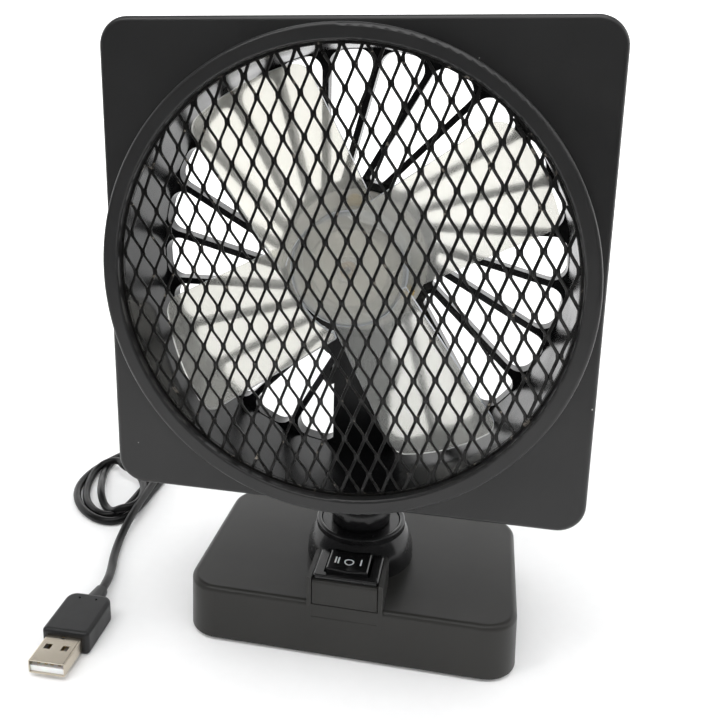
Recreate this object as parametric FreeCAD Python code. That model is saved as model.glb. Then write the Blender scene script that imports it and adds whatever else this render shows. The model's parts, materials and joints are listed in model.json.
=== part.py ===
import FreeCAD, Part
import math
import os

"""Desk fan on a ball-and-socket neck: a square panel with a raised ring and an expanded-metal
grille, a round air duct with a swirled rear cover, a four-blade impeller on a small brush motor,
a weighted base with a three-position rocker switch, and a USB lead with its plug.

Millimetres, +Z up, the front of the fan faces -Y, and the table is the plane Z = 0.  The origin is
on the table under the middle of the fan's box, measured without its lead.

Three local frames keep the numbers simple:
  base frame   x, y, z with its origin on the table under the middle of the base
  neck frame   x, y, z with its origin at the centre of the neck ball
  head frame   x to the right, y up, z to the front, with its origin on the duct axis, in the
               plane of the panel's front face
"""

V = FreeCAD.Vector
UP = V(0, 0, 1)

# ---------------------------------------------------------------- driving dimensions: base
BASE_WIDTH = 108.0
BASE_DEPTH = 67.0
BASE_CORNER = 10.8
BASE_TOP = 19.3              # height of the base's top face above the table
BASE_DRAFT = 0.4             # each side leans in by this much from bottom to top
BASE_EDGE = 1.8              # rounding of the top edge
WALL = 2.0
FOOT_HEIGHT = 1.2
FOOT_RADIUS = 5.0
FOOT_RECESS = 0.8
FOOT_X = 43.0
FOOT_Y = 22.5
BOSS_X = 30.0
BOSS_Y = 25.0
BOSS_RADIUS = 3.2

# ---------------------------------------------------------------- driving dimensions: switch
TOWER_WIDTH = 24.4
TOWER_TOP = 27.2
TOWER_DEPTH = 17.2
TOWER_WALL = 1.5
TOWER_CHEEK = 1.0            # the side walls rise this far above the panel, beside the bezel
PANEL_GAP = 0.3              # seam beside the switch panel
BEZEL_WIDTH = 21.0
BEZEL_DEPTH = 15.0
BEZEL_HEIGHT = 1.4
SWITCH_WIDTH = 18.6
SWITCH_DEPTH = 12.8
SWITCH_BODY = 12.0           # depth of the switch body below its bezel
ROCKER_WIDTH = 13.4
ROCKER_CREST = 4.7           # its raised ends and its hollow middle, above the pivot
ROCKER_VALLEY = 4.0
ROCKER_DEPTH = 10.2
ROCKER_WELL = 14.8           # width of the well that the rocker rocks in
TERMINAL_X = 6.0             # the outer blades stand this far from the middle one
TERMINAL_LENGTH = 5.0

# ---------------------------------------------------------------- driving dimensions: neck
NECK_FORWARD = 0.7           # the neck stands this far ahead of the base's middle
COLLAR_HEIGHT = 13.5
COLLAR_FOOT_RADIUS = 18.4
COLLAR_RIM_RADIUS = 15.4
COLLAR_BORE = 13.6
COLLAR_FLOOR = 3.0
BALL_RADIUS = 10.3
BALL_CAVITY = 7.3
BALL_HEIGHT = 35.3           # ball centre above the table
NECK_RADIUS = 8.8
RUNNING_GAP = 0.3            # between surfaces that slide on each other
BOLT_RADIUS = 3.0
BOLT_BORE = 1.9
BOLT_HOLE = BOLT_RADIUS + RUNNING_GAP
SPRING_LENGTH = 4.4
NUT_HEIGHT = 3.2

# ---------------------------------------------------------------- driving dimensions: head
PANEL_SIZE = 142.0
PANEL_CORNER = 8.3
PANEL_THICKNESS = 4.0
PANEL_EDGE = 1.7
RING_RADIUS = 68.8
RING_RAISE = 8.5             # the ring's front stands this far ahead of the panel
OPENING_RADIUS = 64.2
GROOVE_RADIUS = 65.2
DUCT_RADIUS = 63.4
DUCT_OUTSIDE = 65.0
DUCT_REAR = -26.0
MESH_REAR = 4.6
MESH_THICKNESS = 0.8
HEAD_HEIGHT = 127.4          # duct axis above the table
NECK_SETBACK = 36.4          # neck axis behind the panel's front face
NECK_OFFSET = 1.8            # neck axis to the right of the duct axis

# expanded metal
MESH_SHORT = 6.0
MESH_LONG = 11.5
MESH_STRAND = 1.05
MESH_TURN = 6.3              # degrees that the lattice is turned in its ring
MESH_RIM = 63.6
MESH_SMALLEST_HOLE = 1.5     # square millimetres: smaller slivers at the rim stay closed

# rear cover
SPOKE_COUNT = 24
SPOKE_SWIRL = 10.8           # each spoke's line passes the duct axis at this distance
SPOKE_PHASE = 75.0           # direction of the first spoke, in degrees from the right
SPOKE_THICKNESS = 2.0
COVER_FRONT = DUCT_REAR
COVER_REAR = -31.0
COVER_OUTSIDE = 66.8
WINDOW_RADIUS = 63.2
MOUNT_RADIUS = 24.5
CUP_RADIUS = 15.0
CUP_BACK = -39.0
LUG_SCREW_RADIUS = 78.0
REAR_SCREW_RADIUS = 69.4

# stem on the rear cover
STEM_WIDTH = 17.0
STEM_FRONT = -28.4
STEM_BACK = -44.4
STEM_WALL = 1.8
STEM_TOP = -10.0
STEM_BOTTOM = -74.0

# impeller and motor
HUB_RADIUS = 17.4
HUB_FRONT = -7.0
HUB_REAR = -20.0
HUB_WALL = 1.4
BLADE_COUNT = 4
BLADE_FIRST = 31.0           # direction of the first blade, in degrees from the right
BLADE_TIP_RADIUS = 61.3
BLADE_ROOT_RADIUS = 16.4
BLADE_THICKNESS = 1.4
BLADE_MIDDLE = -8.6          # depth of the blades' middle line
BLADE_ROOT_PITCH = 31.0
BLADE_TIP_PITCH = 20.0
BLADE_ROOT_WIDTH = 29.0
BLADE_TIP_WIDTH = 37.0
MOTOR_RADIUS = 12.2
MOTOR_FRONT = -12.0
MOTOR_REAR = -35.4
SHAFT_RADIUS = 1.0
BEARING_GAP = 0.05

# ---------------------------------------------------------------- driving dimensions: lead
CORD_DIAMETER = 3.2
GROMMET_X = -20.0            # in the base frame
GROMMET_Z = 8.0
GROMMET_LENGTH = 20.0
WIRE_DIAMETER = 1.1
WIRE_FLOOR = 4.6             # height of the wires that cross the base's bottom plate
CORD_MEETING = 12.0          # the lead's inner and outer stretches meet this far out in the grommet
JACKET_END = V(-12.2, -9.0, 5.2)     # where the lead's jacket is stripped, in the base frame
PLUG_FRONT = V(-85.8, -55.9, 4.0)    # middle of the plug's open end
PLUG_TURN = 2.0              # degrees that the plug is turned on the table
SHELL_WIDTH = 12.0
SHELL_HEIGHT = 4.5
SHELL_LENGTH = 12.0
SHELL_SKIN = 0.35
WINDOW_PLACE = V(2.9, 6.7, 0)        # middle of a latch window, to the side and behind the open end
WINDOW_SIDE = 2.2
OVERMOULD_WIDTH = 16.0
OVERMOULD_HEIGHT = 8.0
OVERMOULD_LENGTH = 20.0
SHOULDER_RADIUS = 3.6
OVERMOULD_CORNER = 1.4
OVERMOULD_RIM = 1.3          # rounding of its top and bottom edges
SHELL_SOCKET = 5.0           # the shell reaches this far into the overmould
RELIEF_LENGTH = 8.0
RELIEF_SINK = 0.9            # the relief starts this far inside the grip
CORD_IN_PLUG = 4.0           # length of cord held in the relief
DIMPLE_RADIUS = 0.45
DIMPLE_DEPTH = 0.7
DIMPLE_INSET = 3.0           # the dimples' distance from the middle line and from the grip's end
COIL_CENTRE = V(-118.4, 69.2, 0)
COIL_HALF_WIDTH = 21.4
COIL_HALF_LENGTH = 44.0
COIL_BAND = 11.0
COIL_HEIGHT = 7.0
PUT_AWAY_RADIUS = 17.4       # middle of the turns of the lead's neat coil behind the base
PUT_AWAY_BAND = 7.0
PUT_AWAY_HEIGHT = 6.4
PUT_AWAY_BACK = 46.5         # its centre, behind the base's rear face

# ---------------------------------------------------------------- places that follow from these
NECK_Y = (NECK_SETBACK + RING_RAISE - NECK_FORWARD - BASE_DEPTH / 2) / 2
NECK_PLACE = V(NECK_OFFSET, NECK_Y, BALL_HEIGHT)
BASE_PLACE = V(NECK_OFFSET, NECK_Y + NECK_FORWARD, 0)
HEAD_PLACE = V(0, NECK_Y - NECK_SETBACK, HEAD_HEIGHT)
NECK_LINE_Y = -NECK_FORWARD                      # the neck axis in the base frame
TOWER_FRONT = -BASE_DEPTH / 2
TOWER_BACK = TOWER_FRONT + TOWER_DEPTH
SWITCH_Y = TOWER_FRONT + BEZEL_DEPTH / 2 + 1.6
ROCKER_PIVOT_Z = TOWER_TOP - 1.7
TERMINAL_LOW = TOWER_TOP - SWITCH_BODY - TERMINAL_LENGTH
STEM_LEFT = NECK_OFFSET - STEM_WIDTH / 2
STEM_RIGHT = NECK_OFFSET + STEM_WIDTH / 2
BALL_IN_HEAD = BALL_HEIGHT - HEAD_HEIGHT
SPRING_LOW = BASE_TOP - WALL - RUNNING_GAP - SPRING_LENGTH - BALL_HEIGHT     # in the neck frame
DIAGONALS = (45, 135, 225, 315)


# ================================================================ helpers
def disc(radius, low, high, x=0.0, y=0.0):
    """A round bar along z."""
    return Part.makeCylinder(radius, high - low, V(x, y, low))


def tube(outside, inside, low, high, x=0.0, y=0.0):
    """A round tube along z."""
    return disc(outside, low, high, x, y).cut(disc(inside, low - 1, high + 1, x, y))


def block(x_low, x_high, y_low, y_high, z_low, z_high):
    """A box between two corners."""
    return Part.makeBox(x_high - x_low, y_high - y_low, z_high - z_low, V(x_low, y_low, z_low))


def rounded_outline(width, depth, corner, z):
    """A closed rectangle with round corners, centred on the z axis."""
    half_x = width / 2
    half_y = depth / 2
    diagonal = corner * math.sqrt(0.5)
    edges = []
    for turn, along, across in ((0, half_x, half_y), (90, half_y, half_x),
                                (180, half_x, half_y), (270, half_y, half_x)):
        middle = V(along - corner, across - corner, z)
        side = Part.LineSegment(V(along, corner - across, z), V(along, across - corner, z))
        bend = Part.Arc(V(along, across - corner, z), middle + V(diagonal, diagonal, 0),
                        V(along - corner, across, z))
        for curve in (side, bend):
            edge = curve.toShape()
            edge.rotate(V(0, 0, 0), UP, turn)
            edges.append(edge)
    return Part.Wire(edges)


def rounded_slab(width, depth, corner, low, high):
    """A plate with round corners."""
    face = Part.Face(rounded_outline(width, depth, corner, low))
    return face.extrude(V(0, 0, high - low))


def round_level_edges(shape, radius, level, smallest=0.0):
    """Round the edges that lie at one height and reach at least this far from the z axis."""
    chosen = []
    for edge in shape.Edges:
        box = edge.BoundBox
        flat = abs(box.ZMin - level) < 1e-4 and abs(box.ZMax - level) < 1e-4
        reach = max(abs(box.XMin), abs(box.XMax), abs(box.YMin), abs(box.YMax))
        if flat and reach >= smallest:
            chosen.append(edge)
    return shape.makeFillet(radius, chosen)


def turned(profile):
    """A solid of revolution about z from a closed (radius, height) outline."""
    points = [V(radius, 0, height) for radius, height in profile]
    points.append(points[0])
    return Part.Face(Part.makePolygon(points)).revolve(V(0, 0, 0), UP, 360)


def at_angle(shape, angle):
    """A copy turned about z."""
    copy = shape.copy()
    copy.rotate(V(0, 0, 0), UP, angle)
    return copy


def polar(radius, angle):
    """A point in the x-y plane from its distance and direction."""
    return V(radius * math.cos(math.radians(angle)), radius * math.sin(math.radians(angle)), 0)


def fused(shapes):
    """One solid from several that touch or overlap."""
    whole = shapes[0].multiFuse(shapes[1:]) if len(shapes) > 1 else shapes[0]
    return whole.removeSplitter()


def group(shapes):
    """Several separate solids in one node."""
    return Part.makeCompound(shapes)


def screw(shank, length, head, head_height):
    """A pan-head screw that points up along z, with the underside of its head at z = 0."""
    body = disc(shank, 0, length)
    top = disc(head, -head_height, 0)
    slot = block(-head, head, -0.3, 0.3, -head_height - 1, -head_height + 0.5)
    return body.fuse(top).cut(slot)


def route_path(points):
    """Straight runs joined by arcs as large as the runs allow, and the arcs' radii."""
    edges = []
    radii = []
    start = points[0]
    for before, corner, after in zip(points, points[1:], points[2:]):
        back = before - corner
        ahead = after - corner
        half_turn = (math.pi - back.getAngle(ahead)) / 2
        reach = 0.45 * min(back.Length, ahead.Length)
        radius = reach / math.tan(half_turn)
        back.normalize()
        ahead.normalize()
        entry = corner + back * reach
        leave = corner + ahead * reach
        bisector = back + ahead
        bisector.normalize()
        middle = corner + bisector * (math.hypot(radius, reach) - radius)
        edges.append(Part.LineSegment(start, entry).toShape())
        edges.append(Part.Arc(entry, middle, leave).toShape())
        radii.append(radius)
        start = leave
    edges.append(Part.LineSegment(start, points[-1]).toShape())
    return Part.Wire(edges), radii


def cord_along(points, diameter):
    """A round cord along a route, with its length and its tightest bend."""
    path, radii = route_path(points)
    direction = points[1] - points[0]
    section = Part.Wire(Part.makeCircle(diameter / 2, points[0], direction))
    solid = path.makePipeShell([section], True, True)
    return solid, path.Length, min(radii)


def in_base(shape):
    """Place a shape made in the base frame."""
    return moved(shape, FreeCAD.Placement(BASE_PLACE, FreeCAD.Rotation()))


def in_neck(shape):
    """Place a shape made in the neck frame."""
    return moved(shape, FreeCAD.Placement(NECK_PLACE, FreeCAD.Rotation()))


def in_head(shape):
    """Place a shape made in the head frame."""
    return moved(shape, FreeCAD.Placement(HEAD_PLACE, FreeCAD.Rotation(V(1, 0, 0), 90)))


def moved(shape, placement):
    """A copy of a shape, moved as a whole."""
    copy = shape.copy()
    copy.Placement = placement.multiply(copy.Placement)
    return copy


# ================================================================ base
def four_corners(x, y):
    """The four mirrored copies of a point."""
    return [V(side * x, end * y, 0) for side in (-1, 1) for end in (-1, 1)]


def base_cover():
    """The moulded shell of the base, with the cheeks of the switch tower."""
    low = rounded_outline(BASE_WIDTH, BASE_DEPTH, BASE_CORNER, FOOT_HEIGHT)
    high = rounded_outline(BASE_WIDTH - 2 * BASE_DRAFT, BASE_DEPTH - 2 * BASE_DRAFT,
                           BASE_CORNER - BASE_DRAFT, BASE_TOP)
    outside = Part.makeLoft([low, high], True, True)
    outside = round_level_edges(outside, BASE_EDGE, BASE_TOP)
    room = rounded_slab(BASE_WIDTH - 2 * WALL - 2 * BASE_DRAFT, BASE_DEPTH - 2 * WALL - 2 * BASE_DRAFT,
                        BASE_CORNER - WALL, FOOT_HEIGHT - 1, BASE_TOP - WALL)
    half = TOWER_WIDTH / 2
    tower = block(-half, half, TOWER_FRONT + BASE_DRAFT, TOWER_BACK, BASE_TOP - WALL,
                  TOWER_TOP + TOWER_CHEEK)
    uprights = [edge for edge in tower.Edges
                if edge.BoundBox.ZLength > 1 and edge.BoundBox.YMin > TOWER_BACK - 1]
    tower = tower.makeFillet(2.0, uprights)
    shell = outside.fuse(tower).cut(room)
    inner = half - TOWER_WALL
    shell = shell.cut(block(-inner, inner, TOWER_FRONT - 1, TOWER_BACK - TOWER_WALL,
                            BASE_TOP - WALL - 3, TOWER_TOP + TOWER_CHEEK + 1))
    shell = shell.cut(block(-inner, inner, TOWER_BACK - TOWER_WALL - 1, TOWER_BACK + 1,
                            TOWER_TOP, TOWER_TOP + TOWER_CHEEK + 1))
    shell = shell.fuse(block(-inner, inner, TOWER_FRONT + BASE_DRAFT, TOWER_FRONT + BASE_DRAFT + WALL,
                             FOOT_HEIGHT + 3, BASE_TOP - 0.6))
    shell = shell.cut(disc(BOLT_HOLE, BASE_TOP - 5, BASE_TOP + 1, 0, NECK_LINE_Y))
    for screw_place in collar_screw_places():
        shell = shell.cut(disc(1.2, BASE_TOP - 5, BASE_TOP + 1, screw_place.x, screw_place.y))
    for corner in four_corners(BOSS_X, BOSS_Y):
        shell = shell.fuse(disc(BOSS_RADIUS, FOOT_HEIGHT + WALL, BASE_TOP - WALL, corner.x, corner.y))
        shell = shell.cut(disc(1.1, FOOT_HEIGHT, BASE_TOP - 6, corner.x, corner.y))
    rear_hole = Part.makeCylinder(3.2, 6, V(GROMMET_X, BASE_DEPTH / 2 - 4, GROMMET_Z), V(0, 1, 0))
    return in_base(shell.cut(rear_hole).removeSplitter())


def base_plate():
    """The flat bottom of the base, with recesses for its feet."""
    gap = 0.3
    inset = WALL + BASE_DRAFT + gap
    plate = rounded_slab(BASE_WIDTH - 2 * inset, BASE_DEPTH - 2 * inset, BASE_CORNER - WALL - gap,
                         FOOT_HEIGHT, FOOT_HEIGHT + WALL)
    for corner in four_corners(FOOT_X, FOOT_Y):
        plate = plate.cut(disc(FOOT_RADIUS, 0, FOOT_HEIGHT + FOOT_RECESS, corner.x, corner.y))
    for corner in four_corners(BOSS_X, BOSS_Y):
        plate = plate.cut(disc(1.3, 0, 5, corner.x, corner.y))
        plate = plate.cut(disc(2.4, 0, FOOT_HEIGHT + 1.2, corner.x, corner.y))
    return in_base(plate)


def foot(corner):
    """One round rubber foot, half sunk in the bottom plate."""
    pad = disc(FOOT_RADIUS, 0, FOOT_HEIGHT + FOOT_RECESS, corner.x, corner.y)
    lowest = [edge for edge in pad.Edges if edge.BoundBox.ZMax < 0.1]
    return in_base(pad.makeFillet(0.5, lowest))


def base_screws():
    """The four screws that hold the bottom plate."""
    screws = []
    for corner in four_corners(BOSS_X, BOSS_Y):
        one = screw(1.1, 9.0, 2.2, 1.1)
        one.translate(V(corner.x, corner.y, FOOT_HEIGHT + 1.2))
        screws.append(in_base(one))
    return group(screws)


def ballast(side):
    """One steel weight, on the left (-1) or right (1) of the bottom plate."""
    weight = rounded_slab(27, 38, 3, FOOT_HEIGHT + WALL, 13.0)
    weight.translate(V(side * 32.5, 0, 0))
    for corner in four_corners(BOSS_X, BOSS_Y):
        weight = weight.cut(disc(BOSS_RADIUS + 0.6, 0, 20, corner.x, corner.y))
    return in_base(weight)


# ================================================================ switch
def switch_panel():
    """The top and front of the switch tower, with the cut-out for the switch."""
    half = TOWER_WIDTH / 2 - TOWER_WALL - PANEL_GAP
    front = TOWER_FRONT + BASE_DRAFT
    back = TOWER_BACK - TOWER_WALL - PANEL_GAP
    sill = BASE_TOP - 0.6 + PANEL_GAP
    top = block(-half, half, front, back, TOWER_TOP - 1.6, TOWER_TOP)
    face = block(-half, half, front, front + 1.4, sill, TOWER_TOP)
    panel = top.fuse(face)
    edge = [e for e in panel.Edges
            if abs(e.BoundBox.ZMin - TOWER_TOP) < 1e-4 and e.BoundBox.YMax < front + 1e-4]
    panel = panel.makeFillet(0.9, edge)
    hole = block(-SWITCH_WIDTH / 2, SWITCH_WIDTH / 2, SWITCH_Y - SWITCH_DEPTH / 2,
                 SWITCH_Y + SWITCH_DEPTH / 2, TOWER_TOP - 4, TOWER_TOP + 1)
    return in_base(panel.cut(hole).removeSplitter())


def switch_housing():
    """The rocker switch's case: a bezel, a well for the rocker and bearings for its pivot."""
    clear = 0.1
    bezel = rounded_slab(BEZEL_WIDTH, BEZEL_DEPTH, 1.0, TOWER_TOP, TOWER_TOP + BEZEL_HEIGHT)
    bezel = round_level_edges(bezel, 0.6, TOWER_TOP + BEZEL_HEIGHT)
    body = rounded_slab(SWITCH_WIDTH - 2 * clear, SWITCH_DEPTH - 2 * clear, 0.6,
                        TOWER_TOP - SWITCH_BODY, TOWER_TOP)
    well_depth = ROCKER_DEPTH / 2 + 0.25
    well = block(-ROCKER_WELL / 2, ROCKER_WELL / 2, -well_depth, well_depth,
                 TOWER_TOP - 7.5, TOWER_TOP + 3)
    bearing = Part.makeCylinder(1.15, SWITCH_DEPTH, V(0, -SWITCH_DEPTH / 2, ROCKER_PIVOT_Z), V(0, 1, 0))
    case = bezel.fuse(body).cut(well).cut(bearing)
    case.translate(V(0, SWITCH_Y, 0))
    return in_base(case.removeSplitter())


def switch_rocker():
    """The rocker: a shallow V on top, hung on two stub pins."""
    half = ROCKER_WIDTH / 2
    outline = [V(-half, 0, 1.2), V(-half, 0, ROCKER_CREST), V(0, 0, ROCKER_VALLEY),
               V(half, 0, ROCKER_CREST), V(half, 0, 1.2),
               V(3.0, 0, -3.4), V(-3.0, 0, -3.4), V(-half, 0, 1.2)]
    face = Part.Face(Part.makePolygon(outline))
    body = face.extrude(V(0, ROCKER_DEPTH, 0))
    body.translate(V(0, -ROCKER_DEPTH / 2, 0))
    crest = [edge for edge in body.Edges if edge.BoundBox.ZMin > ROCKER_VALLEY - 0.1]
    body = body.makeFillet(0.5, crest)
    pin = Part.makeCylinder(1.05, ROCKER_DEPTH + 2.2, V(0, -ROCKER_DEPTH / 2 - 1.1, 0), V(0, 1, 0))
    rocker = body.fuse(pin)
    rocker.translate(V(0, SWITCH_Y, ROCKER_PIVOT_Z))
    return in_base(rocker)


def switch_terminals():
    """Three solder blades under the switch."""
    blades = [block(x - 0.4, x + 0.4, SWITCH_Y - 2.2, SWITCH_Y + 2.2,
                    TERMINAL_LOW, TOWER_TOP - SWITCH_BODY)
              for x in (-TERMINAL_X, 0.0, TERMINAL_X)]
    return group([in_base(blade) for blade in blades])


def speed_resistor():
    """The small resistor for the lower speed, soldered between the outer blades."""
    y = SWITCH_Y + 5.0
    z = TERMINAL_LOW + 1.2
    body = Part.makeCylinder(2.0, 7.0, V(-3.5, y, z), V(1, 0, 0))
    pieces = [body]
    for side in (-1, 1):
        leg = [V(side * 3.4, y, z), V(side * TERMINAL_X, y, z), V(side * TERMINAL_X, SWITCH_Y + 2.2, z)]
        pieces.append(cord_along(leg, 0.6)[0])
    return in_base(fused(pieces))


# ================================================================ neck
def collar_screw_places():
    """Three points under the collar's wall, in the base frame."""
    ring = (COLLAR_FOOT_RADIUS + COLLAR_BORE) / 2
    return [polar(ring, angle) + V(0, NECK_LINE_Y, 0) for angle in (90, 210, 330)]


def neck_collar():
    """The bell-shaped socket on the base."""
    rim = COLLAR_HEIGHT
    outline = [V(BOLT_HOLE, 0, 0), V(COLLAR_FOOT_RADIUS, 0, 0), V(COLLAR_FOOT_RADIUS, 0, 2.6),
               V(COLLAR_RIM_RADIUS, 0, rim - 2.4), V(COLLAR_RIM_RADIUS, 0, rim), V(COLLAR_BORE, 0, rim),
               V(COLLAR_BORE, 0, COLLAR_FLOOR), V(BOLT_HOLE, 0, COLLAR_FLOOR)]
    bulge = V(COLLAR_FOOT_RADIUS - 0.7, 0, 6.6)
    edges = []
    for start, end in zip(outline, outline[1:] + outline[:1]):
        if start is outline[2]:
            edges.append(Part.Arc(start, bulge, end).toShape())
        else:
            edges.append(Part.LineSegment(start, end).toShape())
    bell = Part.Face(Part.Wire(edges)).revolve(V(0, 0, 0), UP, 360)
    bell = round_level_edges(bell, 0.7, rim)
    for place in collar_screw_places():
        bell = bell.cut(disc(1.0, -1, 7.0, place.x, place.y - NECK_LINE_Y))
    bell.translate(V(0, NECK_LINE_Y, BASE_TOP))
    half = TOWER_WIDTH / 2 + 0.05
    notch = block(-half, half, -40, TOWER_BACK + 0.05, BASE_TOP - 1, TOWER_TOP + BEZEL_HEIGHT + 0.1)
    return in_base(bell.cut(notch))


def collar_screws():
    """The three screws that hold the collar from inside the base."""
    screws = []
    for place in collar_screw_places():
        one = screw(1.0, WALL + 6.0, 2.0, 1.4)
        one.translate(V(place.x, place.y, BASE_TOP - WALL))
        screws.append(in_base(one))
    return group(screws)


def ball_seat():
    """The friction cup that the ball tilts in, and that turns in the collar."""
    floor = BASE_TOP + COLLAR_FLOOR + 0.1 - BALL_HEIGHT
    rim = BASE_TOP + COLLAR_HEIGHT - 0.8 - BALL_HEIGHT
    cup = tube(COLLAR_BORE - RUNNING_GAP, BOLT_RADIUS + 0.1, floor, rim)
    return in_neck(cup.cut(Part.makeSphere(BALL_RADIUS + RUNNING_GAP)))


def neck_ball():
    """The hollow ball with its neck and the tenon that enters the stem."""
    shoulder = HEAD_HEIGHT + STEM_BOTTOM - BALL_HEIGHT
    ball = Part.makeSphere(BALL_RADIUS)
    neck = disc(NECK_RADIUS, 0, shoulder)
    skirt = turned([(0, shoulder - 5), (NECK_RADIUS, shoulder - 5), (NECK_RADIUS + 1.2, shoulder - 1.5),
                    (NECK_RADIUS + 1.2, shoulder), (0, shoulder)])
    depth = abs(STEM_BACK - STEM_FRONT) - 2 * STEM_WALL - 0.6
    width = STEM_WIDTH - 2 * STEM_WALL - 0.6
    tenon = rounded_slab(width, depth, 1.0, shoulder, shoulder + 14.0)
    body = fused([ball, neck, skirt, tenon])
    body = body.cut(Part.makeSphere(BALL_CAVITY)).cut(disc(4.0, 0, shoulder + 20))
    slot = block(-BOLT_RADIUS - 0.4, BOLT_RADIUS + 0.4, -6.4, 8.8, -BALL_RADIUS - 1, -4.0)
    pilot = Part.makeCylinder(1.0, 6.0, V(0, depth / 2 - 3.0, shoulder + 8.0), V(0, 1, 0))
    return in_neck(body.cut(slot).cut(pilot))


def hollow_bolt():
    """The hollow threaded bolt that clamps the ball and carries the wires."""
    head_low = -4.6
    end = SPRING_LOW - 1.0 - NUT_HEIGHT - 0.8
    bolt = tube(BOLT_RADIUS, BOLT_BORE, end, head_low)
    head = tube(4.5, BOLT_BORE, head_low, head_low + 2.0)
    return in_neck(fused([bolt, head]))


def saddle_washer():
    """The washer with a round underside that slides inside the ball."""
    cap = Part.makeSphere(BALL_CAVITY - RUNNING_GAP).common(disc(BALL_RADIUS, -BALL_RADIUS, -4.6))
    return in_neck(cap.cut(disc(BOLT_RADIUS, -20, 20)))


def tension_spring():
    """The coil spring that keeps the ball tight."""
    wire = 1.1
    pitch = 1.5
    coil_radius = 4.3
    bends = 10
    height = SPRING_LENGTH - wire
    steps = int(height / pitch * bends)
    points = [polar(coil_radius, step * 360 / bends) + V(0, 0, height * step / steps)
              for step in range(steps + 1)]
    spring = cord_along(points, wire)[0]
    spring.translate(V(0, 0, SPRING_LOW + wire / 2 + 0.02))
    return in_neck(spring)


def tension_washer():
    """The flat washer under the spring."""
    return in_neck(tube(5.6, BOLT_RADIUS, SPRING_LOW - 1.0, SPRING_LOW))


def tension_nut():
    """The hexagon nut at the lower end of the hollow bolt."""
    low = SPRING_LOW - 1.0 - NUT_HEIGHT
    corners = [polar(5.6, 60 * step) + V(0, 0, low) for step in range(7)]
    nut = Part.Face(Part.makePolygon(corners)).extrude(V(0, 0, NUT_HEIGHT))
    return in_neck(nut.cut(disc(BOLT_RADIUS, -60, 20)))


# ================================================================ head: panel, grille and duct
def front_panel():
    """The square front panel with the raised ring round its opening."""
    plate = rounded_slab(PANEL_SIZE, PANEL_SIZE, PANEL_CORNER, -PANEL_THICKNESS, 0)
    plate = round_level_edges(plate, PANEL_EDGE, 0)
    ring = disc(RING_RADIUS, -PANEL_THICKNESS, RING_RAISE)
    ring = round_level_edges(ring, 1.2, RING_RAISE)
    panel = plate.fuse(ring)
    panel = panel.cut(disc(OPENING_RADIUS, -10, 10))
    lip = [edge for edge in panel.Edges if abs(edge.BoundBox.ZMin - RING_RAISE) < 1e-4
           and abs(edge.BoundBox.XMax - OPENING_RADIUS) < 1e-3]
    panel = panel.makeFillet(0.7, lip)
    panel = panel.cut(disc(GROOVE_RADIUS, -10, MESH_REAR + MESH_THICKNESS))
    for angle in DIAGONALS:
        hole = polar(LUG_SCREW_RADIUS, angle)
        panel = panel.cut(disc(1.2, -PANEL_THICKNESS - 1, -1.0, hole.x, hole.y))
    return in_head(panel.removeSplitter())


def mesh_hole(centre, half_short, half_long):
    """One diamond opening of the expanded metal."""
    corners = [V(half_short, 0, 0), V(0, half_long, 0), V(-half_short, 0, 0), V(0, -half_long, 0)]
    corners.append(corners[0])
    diamond = Part.makePolygon(corners)
    diamond.rotate(V(0, 0, 0), UP, MESH_TURN)
    diamond.translate(centre)
    return diamond


def grille_mesh():
    """The expanded-metal grille: a disc of diamonds with a plain rim."""
    side = math.hypot(MESH_SHORT, MESH_LONG) / 2
    across = MESH_SHORT * MESH_LONG / 4 / side
    shrink = 1 - MESH_STRAND / 2 / across
    half_short = MESH_SHORT / 2 * shrink
    half_long = MESH_LONG / 2 * shrink
    first = V(3.5, 0.45, 0)
    short_step = polar(MESH_SHORT / 2, MESH_TURN)
    long_step = polar(MESH_LONG / 2, MESH_TURN + 90)
    inside = Part.Face(Part.Wire(Part.makeCircle(MESH_RIM)))
    outlines = [Part.Wire(Part.makeCircle(DUCT_OUTSIDE))]
    for row in range(-13, 14):
        for column in range(-23, 24):
            if (row + column) % 2 == 0:
                continue
            centre = first + short_step * column + long_step * row
            if centre.Length > MESH_RIM + half_long:
                continue
            diamond = mesh_hole(centre, half_short, half_long)
            farthest = max(vertex.Point.Length for vertex in diamond.Vertexes)
            if farthest < MESH_RIM:
                outlines.append(diamond)
                continue
            clipped = Part.Face(diamond).common(inside)
            for face in clipped.Faces:
                if face.Area > MESH_SMALLEST_HOLE:
                    outlines.append(face.OuterWire)
    sheet = Part.makeFace(outlines, "Part::FaceMakerBullseye")
    sheet.translate(V(0, 0, MESH_REAR))
    mesh = sheet.extrude(V(0, 0, MESH_THICKNESS))
    return in_head(mesh)


def duct():
    """The round air duct, with lugs for the panel's screws and bosses for the rear cover's."""
    body = disc(DUCT_OUTSIDE, DUCT_REAR, MESH_REAR)
    lug = block(DUCT_OUTSIDE - 2, LUG_SCREW_RADIUS, -5, 5, -PANEL_THICKNESS - 2.6, -PANEL_THICKNESS)
    lug = lug.fuse(disc(5, -PANEL_THICKNESS - 2.6, -PANEL_THICKNESS, LUG_SCREW_RADIUS, 0))
    boss = disc(3.0, DUCT_REAR + 8, DUCT_REAR + 18, REAR_SCREW_RADIUS, 0)
    boss = boss.fuse(block(DUCT_OUTSIDE - 1, REAR_SCREW_RADIUS, -2, 2, DUCT_REAR + 8, DUCT_REAR + 18))
    for angle in DIAGONALS:
        body = body.fuse(at_angle(lug, angle)).fuse(at_angle(boss, angle))
        hole = polar(LUG_SCREW_RADIUS, angle)
        body = body.cut(disc(1.3, -20, 0, hole.x, hole.y))
        pilot = polar(REAR_SCREW_RADIUS, angle)
        body = body.cut(disc(1.1, -30, DUCT_REAR + 16, pilot.x, pilot.y))
    return in_head(body.cut(disc(DUCT_RADIUS, -40, 20)).removeSplitter())


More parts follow.
